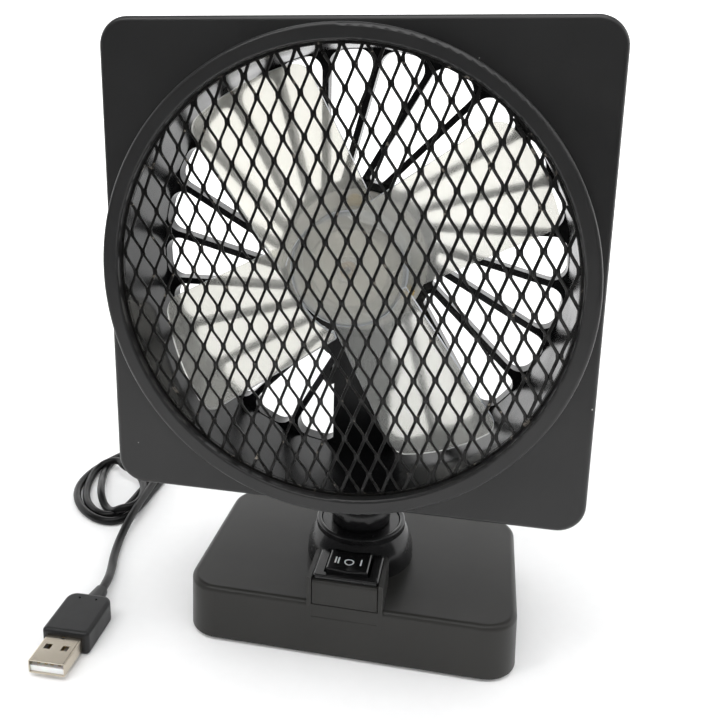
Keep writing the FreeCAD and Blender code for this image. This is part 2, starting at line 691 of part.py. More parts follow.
def panel_screws():
    """The four screws through the duct's lugs into the front panel."""
    screws = []
    for angle in DIAGONALS:
        one = screw(1.2, 5.0, 2.4, 1.6)
        one.translate(polar(LUG_SCREW_RADIUS, angle) + V(0, 0, -PANEL_THICKNESS - 2.6))
        screws.append(in_head(one))
    return group(screws)


# ================================================================ head: rear cover
def window():
    """The opening between two neighbouring spokes of the rear cover, for the first pair."""
    pitch = 360 / SPOKE_COUNT
    low = COVER_REAR - 1
    deep = COVER_FRONT - COVER_REAR + 2
    ring = tube(WINDOW_RADIUS, MOUNT_RADIUS, low, low + deep)
    half = SPOKE_THICKNESS / 2
    right = block(0, 90, -90, SPOKE_SWIRL - half, low, low + deep)
    left = block(0, 90, SPOKE_SWIRL + half, 120, low, low + deep)
    opening = ring.common(right)
    opening = opening.common(at_angle(left, -pitch))
    uprights = [edge for edge in opening.Edges if edge.BoundBox.ZLength > 1]
    outer = [edge for edge in uprights if edge.BoundBox.Center.Length > 50]
    inner = [edge for edge in uprights if edge.BoundBox.Center.Length <= 50]
    opening = opening.makeFillet(4.4, outer)
    inner = [edge for edge in opening.Edges
             if edge.BoundBox.ZLength > 1 and math.hypot(edge.BoundBox.Center.x,
                                                         edge.BoundBox.Center.y) < 40
             and len(edge.Vertexes) == 2 and edge.Curve.TypeId == "Part::GeomLine"]
    return opening.makeFillet(1.2, inner)


def stem_bosses():
    """Screw places on the stem: two on its left and one low on its right, in the head frame."""
    return [V(STEM_LEFT - 1.4, -30.0, 0), V(STEM_LEFT - 1.4, -40.5, 0), V(STEM_RIGHT + 1.4, -40.5, 0)]


def rear_cover():
    """The swirled rear cover with the motor cup and the front half of the stem."""
    plate = disc(COVER_OUTSIDE, COVER_REAR, COVER_FRONT)
    first = window()
    half = STEM_WIDTH / 2
    stem_zone = block(NECK_OFFSET - half, NECK_OFFSET + half, -90, -18, -50, 0)
    for step in range(SPOKE_COUNT):
        opening = at_angle(first, SPOKE_PHASE - step * 360 / SPOKE_COUNT)
        plate = plate.cut(opening.cut(stem_zone))
    sleeve = tube(COVER_OUTSIDE, DUCT_OUTSIDE + 0.1, COVER_FRONT, COVER_FRONT + 6)
    cup = disc(CUP_RADIUS, CUP_BACK, COVER_FRONT + 1.8)
    mount = disc(MOUNT_RADIUS, COVER_REAR, COVER_FRONT + 1.8)
    channel = block(STEM_LEFT, STEM_RIGHT, STEM_BOTTOM, STEM_TOP, STEM_BACK + STEM_WALL, STEM_FRONT)
    pieces = [plate, sleeve, mount, cup, channel]
    for place in stem_bosses():
        pieces.append(disc(2.4, STEM_BACK + STEM_WALL, STEM_FRONT + 1.6, place.x, place.y))
    for angle in DIAGONALS:
        ear = disc(3.4, COVER_FRONT + 3, COVER_FRONT + 8, REAR_SCREW_RADIUS, 0)
        ear = ear.fuse(block(DUCT_OUTSIDE + 1.2, REAR_SCREW_RADIUS, -2.6, 2.6,
                             COVER_FRONT + 3, COVER_FRONT + 8))
        ear = ear.cut(disc(DUCT_OUTSIDE + 0.1, -60, 0))
        pieces.append(at_angle(ear, angle))
    cover = fused(pieces)
    cover = cover.cut(disc(MOTOR_RADIUS + 0.1, CUP_BACK + 1.4, 0))
    cover = cover.cut(block(STEM_LEFT + STEM_WALL, STEM_RIGHT - STEM_WALL, STEM_BOTTOM - 1, -8,
                            STEM_BACK, STEM_FRONT - STEM_WALL))
    for place in stem_bosses():
        cover = cover.cut(disc(0.9, STEM_BACK, STEM_FRONT + 0.8, place.x, place.y))
    for angle in motor_screw_angles():
        hole = polar(motor_screw_radius(), angle)
        cover = cover.cut(disc(0.9, COVER_REAR - 1, 0, hole.x, hole.y))
    for angle in DIAGONALS:
        hole = polar(REAR_SCREW_RADIUS, angle)
        cover = cover.cut(disc(1.3, -60, 0, hole.x, hole.y))
    return in_head(cover.removeSplitter())


def stem_cover():
    """The flat lid on the back of the stem."""
    lid = block(STEM_LEFT, STEM_RIGHT, STEM_BOTTOM, -CUP_RADIUS, STEM_BACK, STEM_BACK + STEM_WALL)
    pieces = [lid]
    for place in stem_bosses():
        pieces.append(disc(2.4, STEM_BACK, STEM_BACK + STEM_WALL, place.x, place.y))
    lid = fused(pieces)
    for place in stem_bosses():
        lid = lid.cut(disc(1.0, -60, 0, place.x, place.y))
    hole = disc(1.3, -60, 0, NECK_OFFSET, STEM_BOTTOM + 8.0)
    return in_head(lid.cut(hole))


def stem_screws():
    """The screws that hold the stem's lid, and the one that holds the neck in the stem."""
    screws = []
    for place in stem_bosses():
        one = screw(0.9, 14.0, 1.8, 1.2)
        one.translate(V(place.x, place.y, STEM_BACK))
        screws.append(in_head(one))
    return group(screws)


def neck_screw():
    """The screw through the stem's lid into the neck's tenon."""
    one = screw(1.0, 4.5, 2.2, 1.4)
    one.translate(V(NECK_OFFSET, STEM_BOTTOM + 8.0, STEM_BACK))
    return in_head(one)


def rear_cover_screws():
    """The four screws through the rear cover's ears into the duct."""
    screws = []
    for angle in DIAGONALS:
        one = screw(1.1, 10.0, 2.2, 1.4)
        one.translate(polar(REAR_SCREW_RADIUS, angle) + V(0, 0, COVER_FRONT + 3))
        screws.append(in_head(one))
    return group(screws)


# ================================================================ motor
def motor_screw_radius():
    """Distance of the motor screws from the axis."""
    return 18.4


def motor_screw_angles():
    """Directions of the three motor screws."""
    return (92, -28, 212)


def motor_can():
    """The drawn steel can, closed in front round the bearing."""
    can = disc(MOTOR_RADIUS, MOTOR_REAR + 2.0, MOTOR_FRONT)
    can = round_level_edges(can, 1.2, MOTOR_FRONT)
    boss = disc(4.0, MOTOR_FRONT, MOTOR_FRONT + 1.6)
    can = can.fuse(boss).cut(disc(MOTOR_RADIUS - 0.9, MOTOR_REAR, MOTOR_FRONT - 1.0))
    return in_head(can.cut(disc(2.6, -60, 0)))


def motor_bracket():
    """The steel ring that holds the motor in its cup."""
    ring = tube(22.0, MOTOR_RADIUS, COVER_FRONT + 1.8, COVER_FRONT + 3.0)
    for angle in motor_screw_angles():
        hole = polar(motor_screw_radius(), angle)
        ring = ring.cut(disc(1.1, -60, 0, hole.x, hole.y))
    return in_head(ring)


def motor_screws():
    """The three brass screws of the motor bracket."""
    screws = []
    for angle in motor_screw_angles():
        one = screw(0.9, 5.0, 2.3, 1.2)
        one.rotate(V(0, 0, 0), V(1, 0, 0), 180)
        one.translate(polar(motor_screw_radius(), angle) + V(0, 0, COVER_FRONT + 3.0))
        screws.append(in_head(one))
    return group(screws)


def motor_end_cap():
    """The plastic cap at the rear of the can, which carries the brushes."""
    cap = disc(MOTOR_RADIUS - 0.9, MOTOR_REAR, MOTOR_REAR + 4.0)
    cap = cap.cut(disc(MOTOR_RADIUS - 2.2, MOTOR_REAR + 2.0, 0)).cut(disc(2.6, -60, 0))
    for side in (-1, 1):
        x = side * 6.0
        cap = cap.cut(block(x - 1.5, x + 1.5, -0.4, 0.4, -60, 0))
    return in_head(cap)


def motor_bearing(low, high):
    """One sintered bronze bush."""
    return in_head(tube(2.6, SHAFT_RADIUS + BEARING_GAP, low, high))


def motor_magnets():
    """The two curved magnets inside the can."""
    low = MOTOR_REAR + 6.0
    high = MOTOR_FRONT - 2.4
    ring = tube(MOTOR_RADIUS - 0.9, 9.4, low, high)
    halves = []
    for side in (-1, 1):
        keep = block(min(0, side * 20), max(0, side * 20), -7.6, 7.6, low, high)
        halves.append(in_head(ring.common(keep)))
    return group(halves)


def motor_armature():
    """The three-pole rotor with its windings."""
    low = MOTOR_REAR + 8.0
    high = MOTOR_FRONT - 4.0
    core = disc(3.4, low, high)
    arm = block(0, 8.4, -1.4, 1.4, low, high)
    shoe = tube(9.0, 7.6, low, high).common(block(0, 12, -4.2, 4.2, low, high))
    winding = block(3.0, 7.4, -3.0, 3.0, low - 1.2, high + 1.2)
    pieces = [core]
    for step in range(3):
        for piece in (arm, shoe, winding):
            pieces.append(at_angle(piece, 90 + 120 * step))
    rotor = fused(pieces)
    return in_head(rotor.cut(disc(SHAFT_RADIUS, -60, 0)))


def motor_commutator():
    """The copper commutator behind the rotor."""
    low = MOTOR_REAR + 3.4
    body = tube(2.4, SHAFT_RADIUS, low, low + 3.0)
    for step in range(3):
        body = body.cut(at_angle(block(1.9, 3, -0.15, 0.15, low - 1, low + 4), 30 + 120 * step))
    return in_head(body)


def motor_brushes():
    """The two brush leaves on the end cap, each with its carbon block at the commutator."""
    low = MOTOR_REAR + 2.0
    leaves = []
    for side in (-1, 1):
        leaf = block(2.9, 3.3, -6.0, 4.0, low, low + 4.0)
        carbon = block(2.6, 2.9, -1.0, 1.0, low + 1.6, low + 4.0)
        leaves.append(in_head(at_angle(fused([leaf, carbon]), 90 - side * 90)))
    return group(leaves)


def motor_terminals():
    """The two solder tabs that pass through the end cap."""
    tabs = []
    for side in (-1, 1):
        x = side * 6.0
        tabs.append(in_head(block(x - 1.5, x + 1.5, -0.4, 0.4, MOTOR_REAR - 1.6, MOTOR_REAR + 2.4)))
    return group(tabs)


def motor_shaft():
    """The steel shaft that carries the rotor and the impeller."""
    return in_head(disc(SHAFT_RADIUS, MOTOR_REAR + 0.6, HUB_FRONT - HUB_WALL))


# ================================================================ impeller
def blade():
    """One twisted blade that points along x."""
    def section(radius, width, pitch):
        half_width = width / 2
        half = BLADE_THICKNESS / 2
        corners = [V(radius, -half_width, -half), V(radius, half_width, -half),
                   V(radius, half_width, half), V(radius, -half_width, half)]
        corners.append(corners[0])
        outline = Part.makePolygon(corners)
        outline.rotate(V(0, 0, 0), V(1, 0, 0), pitch)
        return outline

    inner = BLADE_ROOT_RADIUS - 6
    outer = BLADE_TIP_RADIUS + 6
    slab = Part.makeLoft([section(inner, 60, BLADE_ROOT_PITCH), section(outer, 60, BLADE_TIP_PITCH)],
                         True, True)
    root = BLADE_ROOT_WIDTH / 2
    tip = BLADE_TIP_WIDTH / 2
    far = BLADE_TIP_RADIUS + 5
    wedge = Part.makePolygon([V(8, -root, -30), V(far, -tip, -30), V(far, tip, -30), V(8, root, -30),
                              V(8, -root, -30)])
    outline = Part.Face(wedge).extrude(V(0, 0, 60)).common(disc(BLADE_TIP_RADIUS, -30, 30))
    corners = [edge for edge in outline.Edges
               if edge.BoundBox.ZLength > 50 and edge.BoundBox.XMin > BLADE_TIP_RADIUS - 10]
    outline = outline.makeFillet(5.0, corners)
    shaped = slab.common(outline)
    shaped.translate(V(0, 0, BLADE_MIDDLE))
    return shaped


def impeller():
    """The translucent fan: a hub cup with four wide blades."""
    cup = disc(HUB_RADIUS, HUB_REAR, HUB_FRONT)
    cup = round_level_edges(cup, 3.0, HUB_FRONT)
    room = disc(HUB_RADIUS - HUB_WALL, HUB_REAR - 20, HUB_FRONT - HUB_WALL)
    boss = tube(3.4, SHAFT_RADIUS, MOTOR_FRONT + 2.4, HUB_FRONT - HUB_WALL / 2)
    blades = []
    for step in range(BLADE_COUNT):
        one = at_angle(blade(), BLADE_FIRST + step * 360 / BLADE_COUNT)
        blades.append(one.cut(disc(HUB_RADIUS - HUB_WALL / 2, -60, 30)))
    fan = fused([cup.cut(room), boss] + blades)
    return in_head(fan.cut(disc(SHAFT_RADIUS, -60, HUB_FRONT - HUB_WALL)))


# ================================================================ wires held inside
def motor_wires():
    """The two wires from the motor, down the stem and the neck, into the ball."""
    depth = -NECK_SETBACK
    wires = []
    for side in (-1, 1):
        x = NECK_OFFSET + side * 0.9
        points = [V(side * 6.0, -0.4, depth), V(side * 6.0, -7.0, depth),
                  V(x + side * 0.6, -16.0, depth), V(x, -34.0, depth), V(x, BALL_IN_HEAD + 0.6, depth)]
        wires.append(in_head(cord_along(points, WIRE_DIAMETER)[0]))
    return group(wires)


def wire_down_neck(side):
    """The stretch of a wire from the ball's centre down through the hollow bolt."""
    x = side * 0.9
    return [V(x, NECK_LINE_Y, BALL_HEIGHT - 1.6), V(x, NECK_LINE_Y, WIRE_FLOOR)]


def feed_wire():
    """The wire from the switch's right blade to the motor's first wire in the ball."""
    points = wire_down_neck(1) + [V(2.2, -7.8, WIRE_FLOOR), V(TERMINAL_X, -16.0, WIRE_FLOOR + 0.5),
                                  V(TERMINAL_X, SWITCH_Y, WIRE_FLOOR + 0.5),
                                  V(TERMINAL_X, SWITCH_Y, TERMINAL_LOW)]
    return in_base(cord_along(points, WIRE_DIAMETER)[0])


def return_wire():
    """The wire from the USB lead's jacket to the motor's second wire in the ball."""
    points = wire_down_neck(-1) + [V(-2.2, -7.8, WIRE_FLOOR), V(-7.0, -13.6, WIRE_FLOOR),
                                   V(JACKET_END.x + 0.7, -14.6, JACKET_END.z - 0.5),
                                   V(JACKET_END.x + 0.7, JACKET_END.y, JACKET_END.z - 0.5)]
    return in_base(cord_along(points, WIRE_DIAMETER)[0])


def supply_wire():
    """The wire from the USB lead's jacket to the switch's middle blade."""
    points = [V(JACKET_END.x - 0.7, JACKET_END.y, JACKET_END.z + 0.4),
              V(JACKET_END.x - 0.7, -17.0, JACKET_END.z + 0.4), V(-8.0, -23.0, WIRE_FLOOR + 1.4),
              V(0, SWITCH_Y, WIRE_FLOOR + 1.2), V(0, SWITCH_Y, TERMINAL_LOW)]
    return in_base(cord_along(points, WIRE_DIAMETER)[0])


def lead_in():
    """The end of the USB lead inside the base, from the grommet to the switch."""
    rear = BASE_DEPTH / 2
    points = [V(GROMMET_X, rear + CORD_MEETING, GROMMET_Z), V(GROMMET_X, rear - 10.0, GROMMET_Z),
              V(-14.0, 16.5, 6.4), V(JACKET_END.x, 3.0, JACKET_END.z), JACKET_END]
    return in_base(cord_along(points, CORD_DIAMETER)[0])


# ================================================================ USB lead
def grommet():
    """The rubber strain relief in the base's rear wall."""
    outside = [(0, -3.8), (4.0, -3.8), (4.0, -2.5), (3.1, -2.5), (3.1, 0), (4.4, 0), (4.4, 1.6),
               (3.2, 2.4), (2.4, GROMMET_LENGTH - 3), (2.4, GROMMET_LENGTH), (0, GROMMET_LENGTH)]
    body = turned(outside).cut(disc(CORD_DIAMETER / 2, -10, GROMMET_LENGTH + 5))
    body = moved(body, FreeCAD.Placement(V(GROMMET_X, BASE_DEPTH / 2, GROMMET_Z),
                                         FreeCAD.Rotation(V(1, 0, 0), -90)))
    return in_base(body)


def in_plug(shape):
    """Place a shape made in the plug's frame: x across, y from the open end to the cord, z up."""
    return moved(shape, FreeCAD.Placement(PLUG_FRONT, FreeCAD.Rotation(UP, PLUG_TURN)))


def usb_shell():
    """The folded metal shell of the plug, with its two latch windows and the eye of its seam."""
    half = SHELL_WIDTH / 2
    tall = SHELL_HEIGHT / 2
    shell = block(-half, half, 0, SHELL_LENGTH + 5, -tall, tall)
    edges = [edge for edge in shell.Edges if edge.BoundBox.YLength > 5]
    shell = shell.makeFillet(0.5, edges)
    shell = shell.cut(block(SHELL_SKIN - half, half - SHELL_SKIN, -1, SHELL_LENGTH + 4,
                            SHELL_SKIN - tall, tall - SHELL_SKIN))
    for side in (-1, 1):
        x = side * WINDOW_PLACE.x
        low = WINDOW_PLACE.y - WINDOW_SIDE / 2
        shell = shell.cut(block(x - WINDOW_SIDE / 2, x + WINDOW_SIDE / 2, low, low + WINDOW_SIDE,
                                -tall - 1, tall + 1))
    return in_plug(shell.cut(disc(0.6, 0, tall + 1, 0, SHELL_LENGTH - 0.9)))


def usb_tongue():
    """The white plastic tongue in the lower half of the shell."""
    width = SHELL_WIDTH - 2 * SHELL_SKIN
    return in_plug(block(-width / 2, width / 2, 0.6, SHELL_LENGTH + 3.5,
                         SHELL_SKIN - SHELL_HEIGHT / 2, 0.0))


def usb_contacts():
    """The four contact strips on top of the tongue."""
    strips = [in_plug(block(x - 0.5, x + 0.5, 1.6, SHELL_LENGTH - 1.0, 0.0, 0.25))
              for x in (-3.5, -1.0, 1.0, 3.5)]
    return group(strips)


def usb_overmould():
    """The soft black grip of the plug, narrowing over rounded shoulders to the cord."""
    start = SHELL_LENGTH
    end = start + OVERMOULD_LENGTH
    half = OVERMOULD_WIDTH / 2
    tall = OVERMOULD_HEIGHT / 2
    grip = block(-half, half, start, end, -tall, tall)
    shoulders = [edge for edge in grip.Edges
                 if edge.BoundBox.ZLength > 5 and edge.BoundBox.YMin > end - 1e-3]
    grip = grip.makeFillet(SHOULDER_RADIUS, shoulders)
    corners = [edge for edge in grip.Edges
               if edge.BoundBox.ZLength > 5 and edge.BoundBox.YMax < start + 1e-3]
    grip = grip.makeFillet(OVERMOULD_CORNER, corners)
    rims = [edge for edge in grip.Edges if edge.BoundBox.ZLength < 1e-3]
    grip = grip.makeFillet(OVERMOULD_RIM, rims)
    relief = Part.makeCone(3.3, 2.3, RELIEF_LENGTH, V(0, end - RELIEF_SINK, 0), V(0, 1, 0))
    grip = grip.fuse(relief)
    socket = block(-SHELL_WIDTH / 2, SHELL_WIDTH / 2, start - 1, start + SHELL_SOCKET,
                   -SHELL_HEIGHT / 2, SHELL_HEIGHT / 2)
    cord_end = end + RELIEF_LENGTH - RELIEF_SINK - CORD_IN_PLUG
    bore = Part.makeCylinder(CORD_DIAMETER / 2, CORD_IN_PLUG + 2, V(0, cord_end, 0), V(0, 1, 0))
    grip = grip.cut(socket).cut(bore)
    for side in (-1, 1):
        dimple = disc(DIMPLE_RADIUS, tall - DIMPLE_DEPTH, tall + 1, side * DIMPLE_INSET, end - DIMPLE_INSET)
        grip = grip.cut(dimple)
    return in_plug(grip.removeSplitter())


def plug_exit():
    """The point where the cord enters the plug, and one straight behind it."""
    turn = math.radians(PLUG_TURN)
    back = V(-math.sin(turn), math.cos(turn), 0)
    depth = SHELL_LENGTH + OVERMOULD_LENGTH + RELIEF_LENGTH - RELIEF_SINK
    return PLUG_FRONT + back * (depth - CORD_IN_PLUG), PLUG_FRONT + back * (depth + 5.0)


def cord_to_plug():
    """The stretch from the coil to the plug."""
    enter, behind = plug_exit()
    points = [V(-104.6, 62.0, 2.6), V(-100.4, 51.0, 1.7), V(-98.4, 39.0, 1.7), V(-98.3, 28.0, 1.7),
              V(-96.8, 16.0, 1.7), V(-93.4, 5.5, 1.8), V(-90.0, -4.5, 2.6), behind, enter]
    return cord_along(points, CORD_DIAMETER)


def cord_from_base():
    """The stretch from the base's grommet to the neat coil."""
    rear = BASE_PLACE.y + BASE_DEPTH / 2
    x = BASE_PLACE.x + GROMMET_X
    points = [V(x, rear + CORD_MEETING, GROMMET_Z), V(x, rear + 24.0, GROMMET_Z),
              V(x + 0.4, rear + 36.0, 3.6), V(x + 0.8, rear + 46.5, 2.2)]
    return cord_along(points, CORD_DIAMETER)


def put_away_centre():
    """The middle of the neat coil: the lead comes straight out of the grommet onto its side."""
    return V(BASE_PLACE.x + GROMMET_X - PUT_AWAY_RADIUS,
             BASE_PLACE.y + BASE_DEPTH / 2 + PUT_AWAY_BACK, 0)


def cord_put_away():
    """The outer shape of the neat round coil's three turns."""
    inside = PUT_AWAY_RADIUS - PUT_AWAY_BAND / 2
    outside = PUT_AWAY_RADIUS + PUT_AWAY_BAND / 2
    ring = Part.makeCylinder(outside, PUT_AWAY_HEIGHT).cut(Part.makeCylinder(inside, PUT_AWAY_HEIGHT))
    rims = [edge for edge in ring.Edges if edge.BoundBox.ZLength < 1e-3]
    ring = ring.makeFillet(2.0, rims)
    ring.translate(put_away_centre())
    return ring


def cord_across():
    """The stretch from the neat coil to the loose one."""
    coil = put_away_centre()
    steps = [V(-2.0, 17.4, 4.4), V(-14.0, 18.2, 3.2), V(-27.5, 18.0, 1.7),
             V(-42.0, 16.4, 1.7), V(-55.0, 12.6, 1.9), V(-66.0, 6.1, 3.0)]
    return cord_along([coil + step for step in steps], CORD_DIAMETER)


def cord_coil():
    """The outer shape of the loose oval turns: a flat oval band."""
    def oval(half_width, half_length):
        ellipse = Part.Ellipse(V(0, half_length, 0), V(half_width, 0, 0), V(0, 0, 0))
        return Part.Face(Part.Wire(ellipse.toShape())).extrude(V(0, 0, COIL_HEIGHT))

    band = oval(COIL_HALF_WIDTH, COIL_HALF_LENGTH)
    band = band.cut(oval(COIL_HALF_WIDTH - COIL_BAND, COIL_HALF_LENGTH - COIL_BAND))
    rims = [edge for edge in band.Edges if edge.BoundBox.ZLength < 1e-3]
    band = band.makeFillet(2.0, rims)
    band.translate(COIL_CENTRE)
    return band


# ================================================================ export
def all_parts():
    """Every node's name and shape."""
    parts = {
        "base_cover": base_cover(),
        "base_plate": base_plate(),
        "base_screws": base_screws(),
        "ballast_left": ballast(-1),
        "ballast_right": ballast(1),
        "switch_panel": switch_panel(),
        "switch_housing": switch_housing(),
        "switch_rocker": switch_rocker(),
        "switch_terminals": switch_terminals(),
        "speed_resistor": speed_resistor(),
        "neck_collar": neck_collar(),
        "collar_screws": collar_screws(),
        "ball_seat": ball_seat(),
        "neck_ball": neck_ball(),
        "hollow_bolt": hollow_bolt(),
        "saddle_washer": saddle_washer(),
        "tension_spring": tension_spring(),
        "tension_washer": tension_washer(),
        "tension_nut": tension_nut(),
        "front_panel": front_panel(),
        "grille_mesh": grille_mesh(),
        "duct": duct(),
        "panel_screws": panel_screws(),
        "rear_cover": rear_cover(),
        "rear_cover_screws": rear_cover_screws(),
        "stem_cover": stem_cover(),
        "stem_screws": stem_screws(),
        "neck_screw": neck_screw(),
        "motor_can": motor_can(),
        "motor_bracket": motor_bracket(),
        "motor_screws": motor_screws(),
        "motor_end_cap": motor_end_cap(),
        "motor_bearing_front": motor_bearing(MOTOR_FRONT - 2.4, MOTOR_FRONT + 1.4),
        "motor_bearing_rear": motor_bearing(MOTOR_REAR + 0.2, MOTOR_REAR + 3.0),
        "motor_magnets": motor_magnets(),
        "motor_armature": motor_armature(),
        "motor_commutator": motor_commutator(),
        "motor_brushes": motor_brushes(),
        "motor_terminals": motor_terminals(),
        "motor_shaft": motor_shaft(),
        "impeller": impeller(),
        "motor_wires": motor_wires(),
        "feed_wire": feed_wire(),
        "return_wire": return_wire(),
        "supply_wire": supply_wire(),
        "lead_in": lead_in(),
        "cord_grommet": grommet(),
        "cord_put_away": cord_put_away(),
        "cord_coil": cord_coil(),
        "usb_shell": usb_shell(),
        "usb_tongue": usb_tongue(),
        "usb_contacts": usb_contacts(),
        "usb_overmould": usb_overmould(),
    }
    for corner, name in zip(four_corners(FOOT_X, FOOT_Y),
                            ("front_left", "rear_left", "front_right", "rear_right")):
        parts["foot_" + name] = foot(corner)
    area = math.pi * CORD_DIAMETER ** 2 / 4
    for name, make in (("cord_from_base", cord_from_base), ("cord_across", cord_across),
                       ("cord_to_plug", cord_to_plug)):
        solid, length, tightest = make()
        parts[name] = solid
        print(f"{name}: length {length:.1f}, tightest radius {tightest:.1f}, "
              f"volume / (section x length) {solid.Volume / area / length:.3f}")
    return parts


os.makedirs("parts", exist_ok=True)
for name, shape in all_parts().items():
    shape.exportStep(f"parts/{name}.step")
    print(f"{name}: {len(shape.Solids)} solid(s), {shape.Volume:.0f} mm3, valid {shape.isValid()}")
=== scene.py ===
import bpy
import json
import math
from mathutils import Matrix, Vector


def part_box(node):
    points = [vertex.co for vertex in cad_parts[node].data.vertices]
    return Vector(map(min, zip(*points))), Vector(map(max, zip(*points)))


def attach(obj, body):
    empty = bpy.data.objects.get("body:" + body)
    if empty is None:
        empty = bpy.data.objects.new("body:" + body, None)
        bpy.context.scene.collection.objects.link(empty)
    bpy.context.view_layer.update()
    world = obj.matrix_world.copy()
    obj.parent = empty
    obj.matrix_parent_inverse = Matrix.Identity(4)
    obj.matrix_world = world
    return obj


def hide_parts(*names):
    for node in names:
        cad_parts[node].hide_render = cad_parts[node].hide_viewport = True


# Looks of the desk fan, in the CAD model's frame and in metres: the camera, the studio, the lead,
# the expanded-metal grille, the switch's marks and the material of every surface.

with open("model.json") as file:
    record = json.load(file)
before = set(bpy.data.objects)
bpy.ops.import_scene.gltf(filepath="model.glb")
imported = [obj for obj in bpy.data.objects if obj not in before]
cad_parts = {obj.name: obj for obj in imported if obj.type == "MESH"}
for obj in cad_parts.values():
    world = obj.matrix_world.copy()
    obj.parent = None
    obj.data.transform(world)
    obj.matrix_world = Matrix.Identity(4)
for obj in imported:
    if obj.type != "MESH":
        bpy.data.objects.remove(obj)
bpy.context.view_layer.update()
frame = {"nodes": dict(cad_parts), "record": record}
nodes = frame["nodes"]
MM = 0.001

# ---------------------------------------------------------------- places read from the frame
base_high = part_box("base_cover")[1]
mesh_low, mesh_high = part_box("grille_mesh")
grommet_low, grommet_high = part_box("cord_grommet")
rocker_low, rocker_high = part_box("switch_rocker")
ring_low, ring_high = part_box("cord_put_away")
HEAD_X = (mesh_low.x + mesh_high.x) / 2
HEAD_Z = (mesh_low.z + mesh_high.z) / 2
GRILLE_RADIUS = (mesh_high.x - mesh_low.x) / 2


# ================================================================ camera
CAMERA_PLACE = (38.24 * MM, -246.72 * MM, 182.43 * MM)
CAMERA_TURN = 0.2081             # radians to the left of straight on
CAMERA_NOD = -0.2287             # downwards
CAMERA_ROLL = -0.0111


def make_camera():
    """The viewpoint: a little above the head, from the right, looking slightly down."""
    data = bpy.data.cameras.new("camera")
    data.lens = 40.14
    data.shift_x = 0.0598
    data.shift_y = -0.134
    camera = bpy.data.objects.new("camera", data)
    bpy.context.scene.collection.objects.link(camera)
    turn = Matrix.Rotation(CAMERA_TURN, 4, "Z")
    nod = Matrix.Rotation(CAMERA_NOD, 4, "X")
    roll = Matrix.Rotation(CAMERA_ROLL, 4, "Y")
    upright = Matrix.Rotation(math.radians(90), 4, "X")
    place = Matrix.Translation(CAMERA_PLACE)
    camera.matrix_world = place @ turn @ nod @ roll @ upright
    bpy.context.scene.camera = camera


# ================================================================ small helpers
def new_object(name, data):
    """An object in the scene."""
    made = bpy.data.objects.new(name, data)
    bpy.context.scene.collection.objects.link(made)
    return made


def mesh_object(name, points, faces, sharp_angle=35):
    """A smooth-shaded mesh piece from points and faces, with its sharper edges kept."""
    data = bpy.data.meshes.new(name)
    data.from_pydata(points, [], faces)
    data.validate()
    data.shade_smooth()
    data.set_sharp_from_angle(angle=math.radians(sharp_angle))
    return new_object(name, data)


def eased(share):
    """0 to 1 with a soft start and end."""
    share = max(0.0, min(1.0, share))
    return share * share * (3 - 2 * share)


# ================================================================ lead
CORD_DIAMETER = 3.2 * MM
FLOOR = CORD_DIAMETER / 2 / MM + 0.1            # height of a strand on the table, in millimetres
UPPER = FLOOR + CORD_DIAMETER / MM + 0.1        # and of a strand that lies on another


def coil_turn(shape, angle):
    """A point of one loose oval turn, in millimetres."""
    middle_x, middle_y, half_x, near_y, far_y, lopsided, near_lean, far_lean = shape
    t = math.radians(angle)
    far = math.sin(t) > 0
    x = middle_x + half_x * math.cos(t) - lopsided * math.cos(2 * t)
    x += (far_lean if far else near_lean) * math.sin(t)
    return Vector((x, middle_y + (far_y if far else near_y) * math.sin(t)))


def mixed(first, second, share):
    """A turn's shape between two others."""
    return [a + (b - a) * share for a, b in zip(first, second)]


# each turn: middle x and y, half width, near and far half lengths, lopsidedness, near and far lean
OUTER_TURN = (-113.8, 60.8, 17.9, 32.2, 46.0, 4.0, -1.7, 3.0)
MIDDLE_TURN = (-114.6, 61.0, 13.1, 28.0, 42.0, 3.2, -0.8, 2.0)
SMALL_TURN = (-111.9, 52.0, 10.6, 17.0, 17.0, 0.0, -7.2, -7.2)
TURN_START = 18                  # degrees, where the wide and the narrower turn start
TURN_POINTS = 14                 # points in a full turn of them
NARROWS_AFTER = 0.80             # share of the wide turn after which it narrows into the next
MIDDLE_POINTS = 8                # points of the narrower turn, a little over half of it
SMALL_START = 88
SMALL_STEP = 25
SMALL_POINTS = 11
SMALL_ON_TABLE = (8, 9)          # its points that lie on the table, and not on another strand

# the neat coil: angle along the winding, radius of the turn, height of the strand
NEAT_INSIDE = 15.7
NEAT_OUTSIDE = 19.1
NEAT_COIL = ((0, NEAT_OUTSIDE, FLOOR), (280, NEAT_OUTSIDE, FLOOR), (345, NEAT_INSIDE, FLOOR),
             (600, NEAT_INSIDE, FLOOR), (645, NEAT_INSIDE, UPPER), (900, NEAT_INSIDE, UPPER),
             (950, NEAT_OUTSIDE, UPPER), (1170, NEAT_OUTSIDE, UPPER))
NEAT_STEP = 22.5


def neat_turns(middle_x, middle_y):
    """The put-away length: three and a quarter turns, two on the table and the rest on top of them."""
    points = []
    angle = 0.0
    while angle <= NEAT_COIL[-1][0]:
        for (a0, r0, z0), (a1, r1, z1) in zip(NEAT_COIL, NEAT_COIL[1:]):
            if a0 <= angle <= a1:
                share = eased((angle - a0) / (a1 - a0))
                radius = r0 + (r1 - r0) * share
                height = z0 + (z1 - z0) * share
        t = math.radians(angle)
        points.append((middle_x + radius * math.cos(t), middle_y + radius * math.sin(t), height))
        angle += NEAT_STEP
    return points


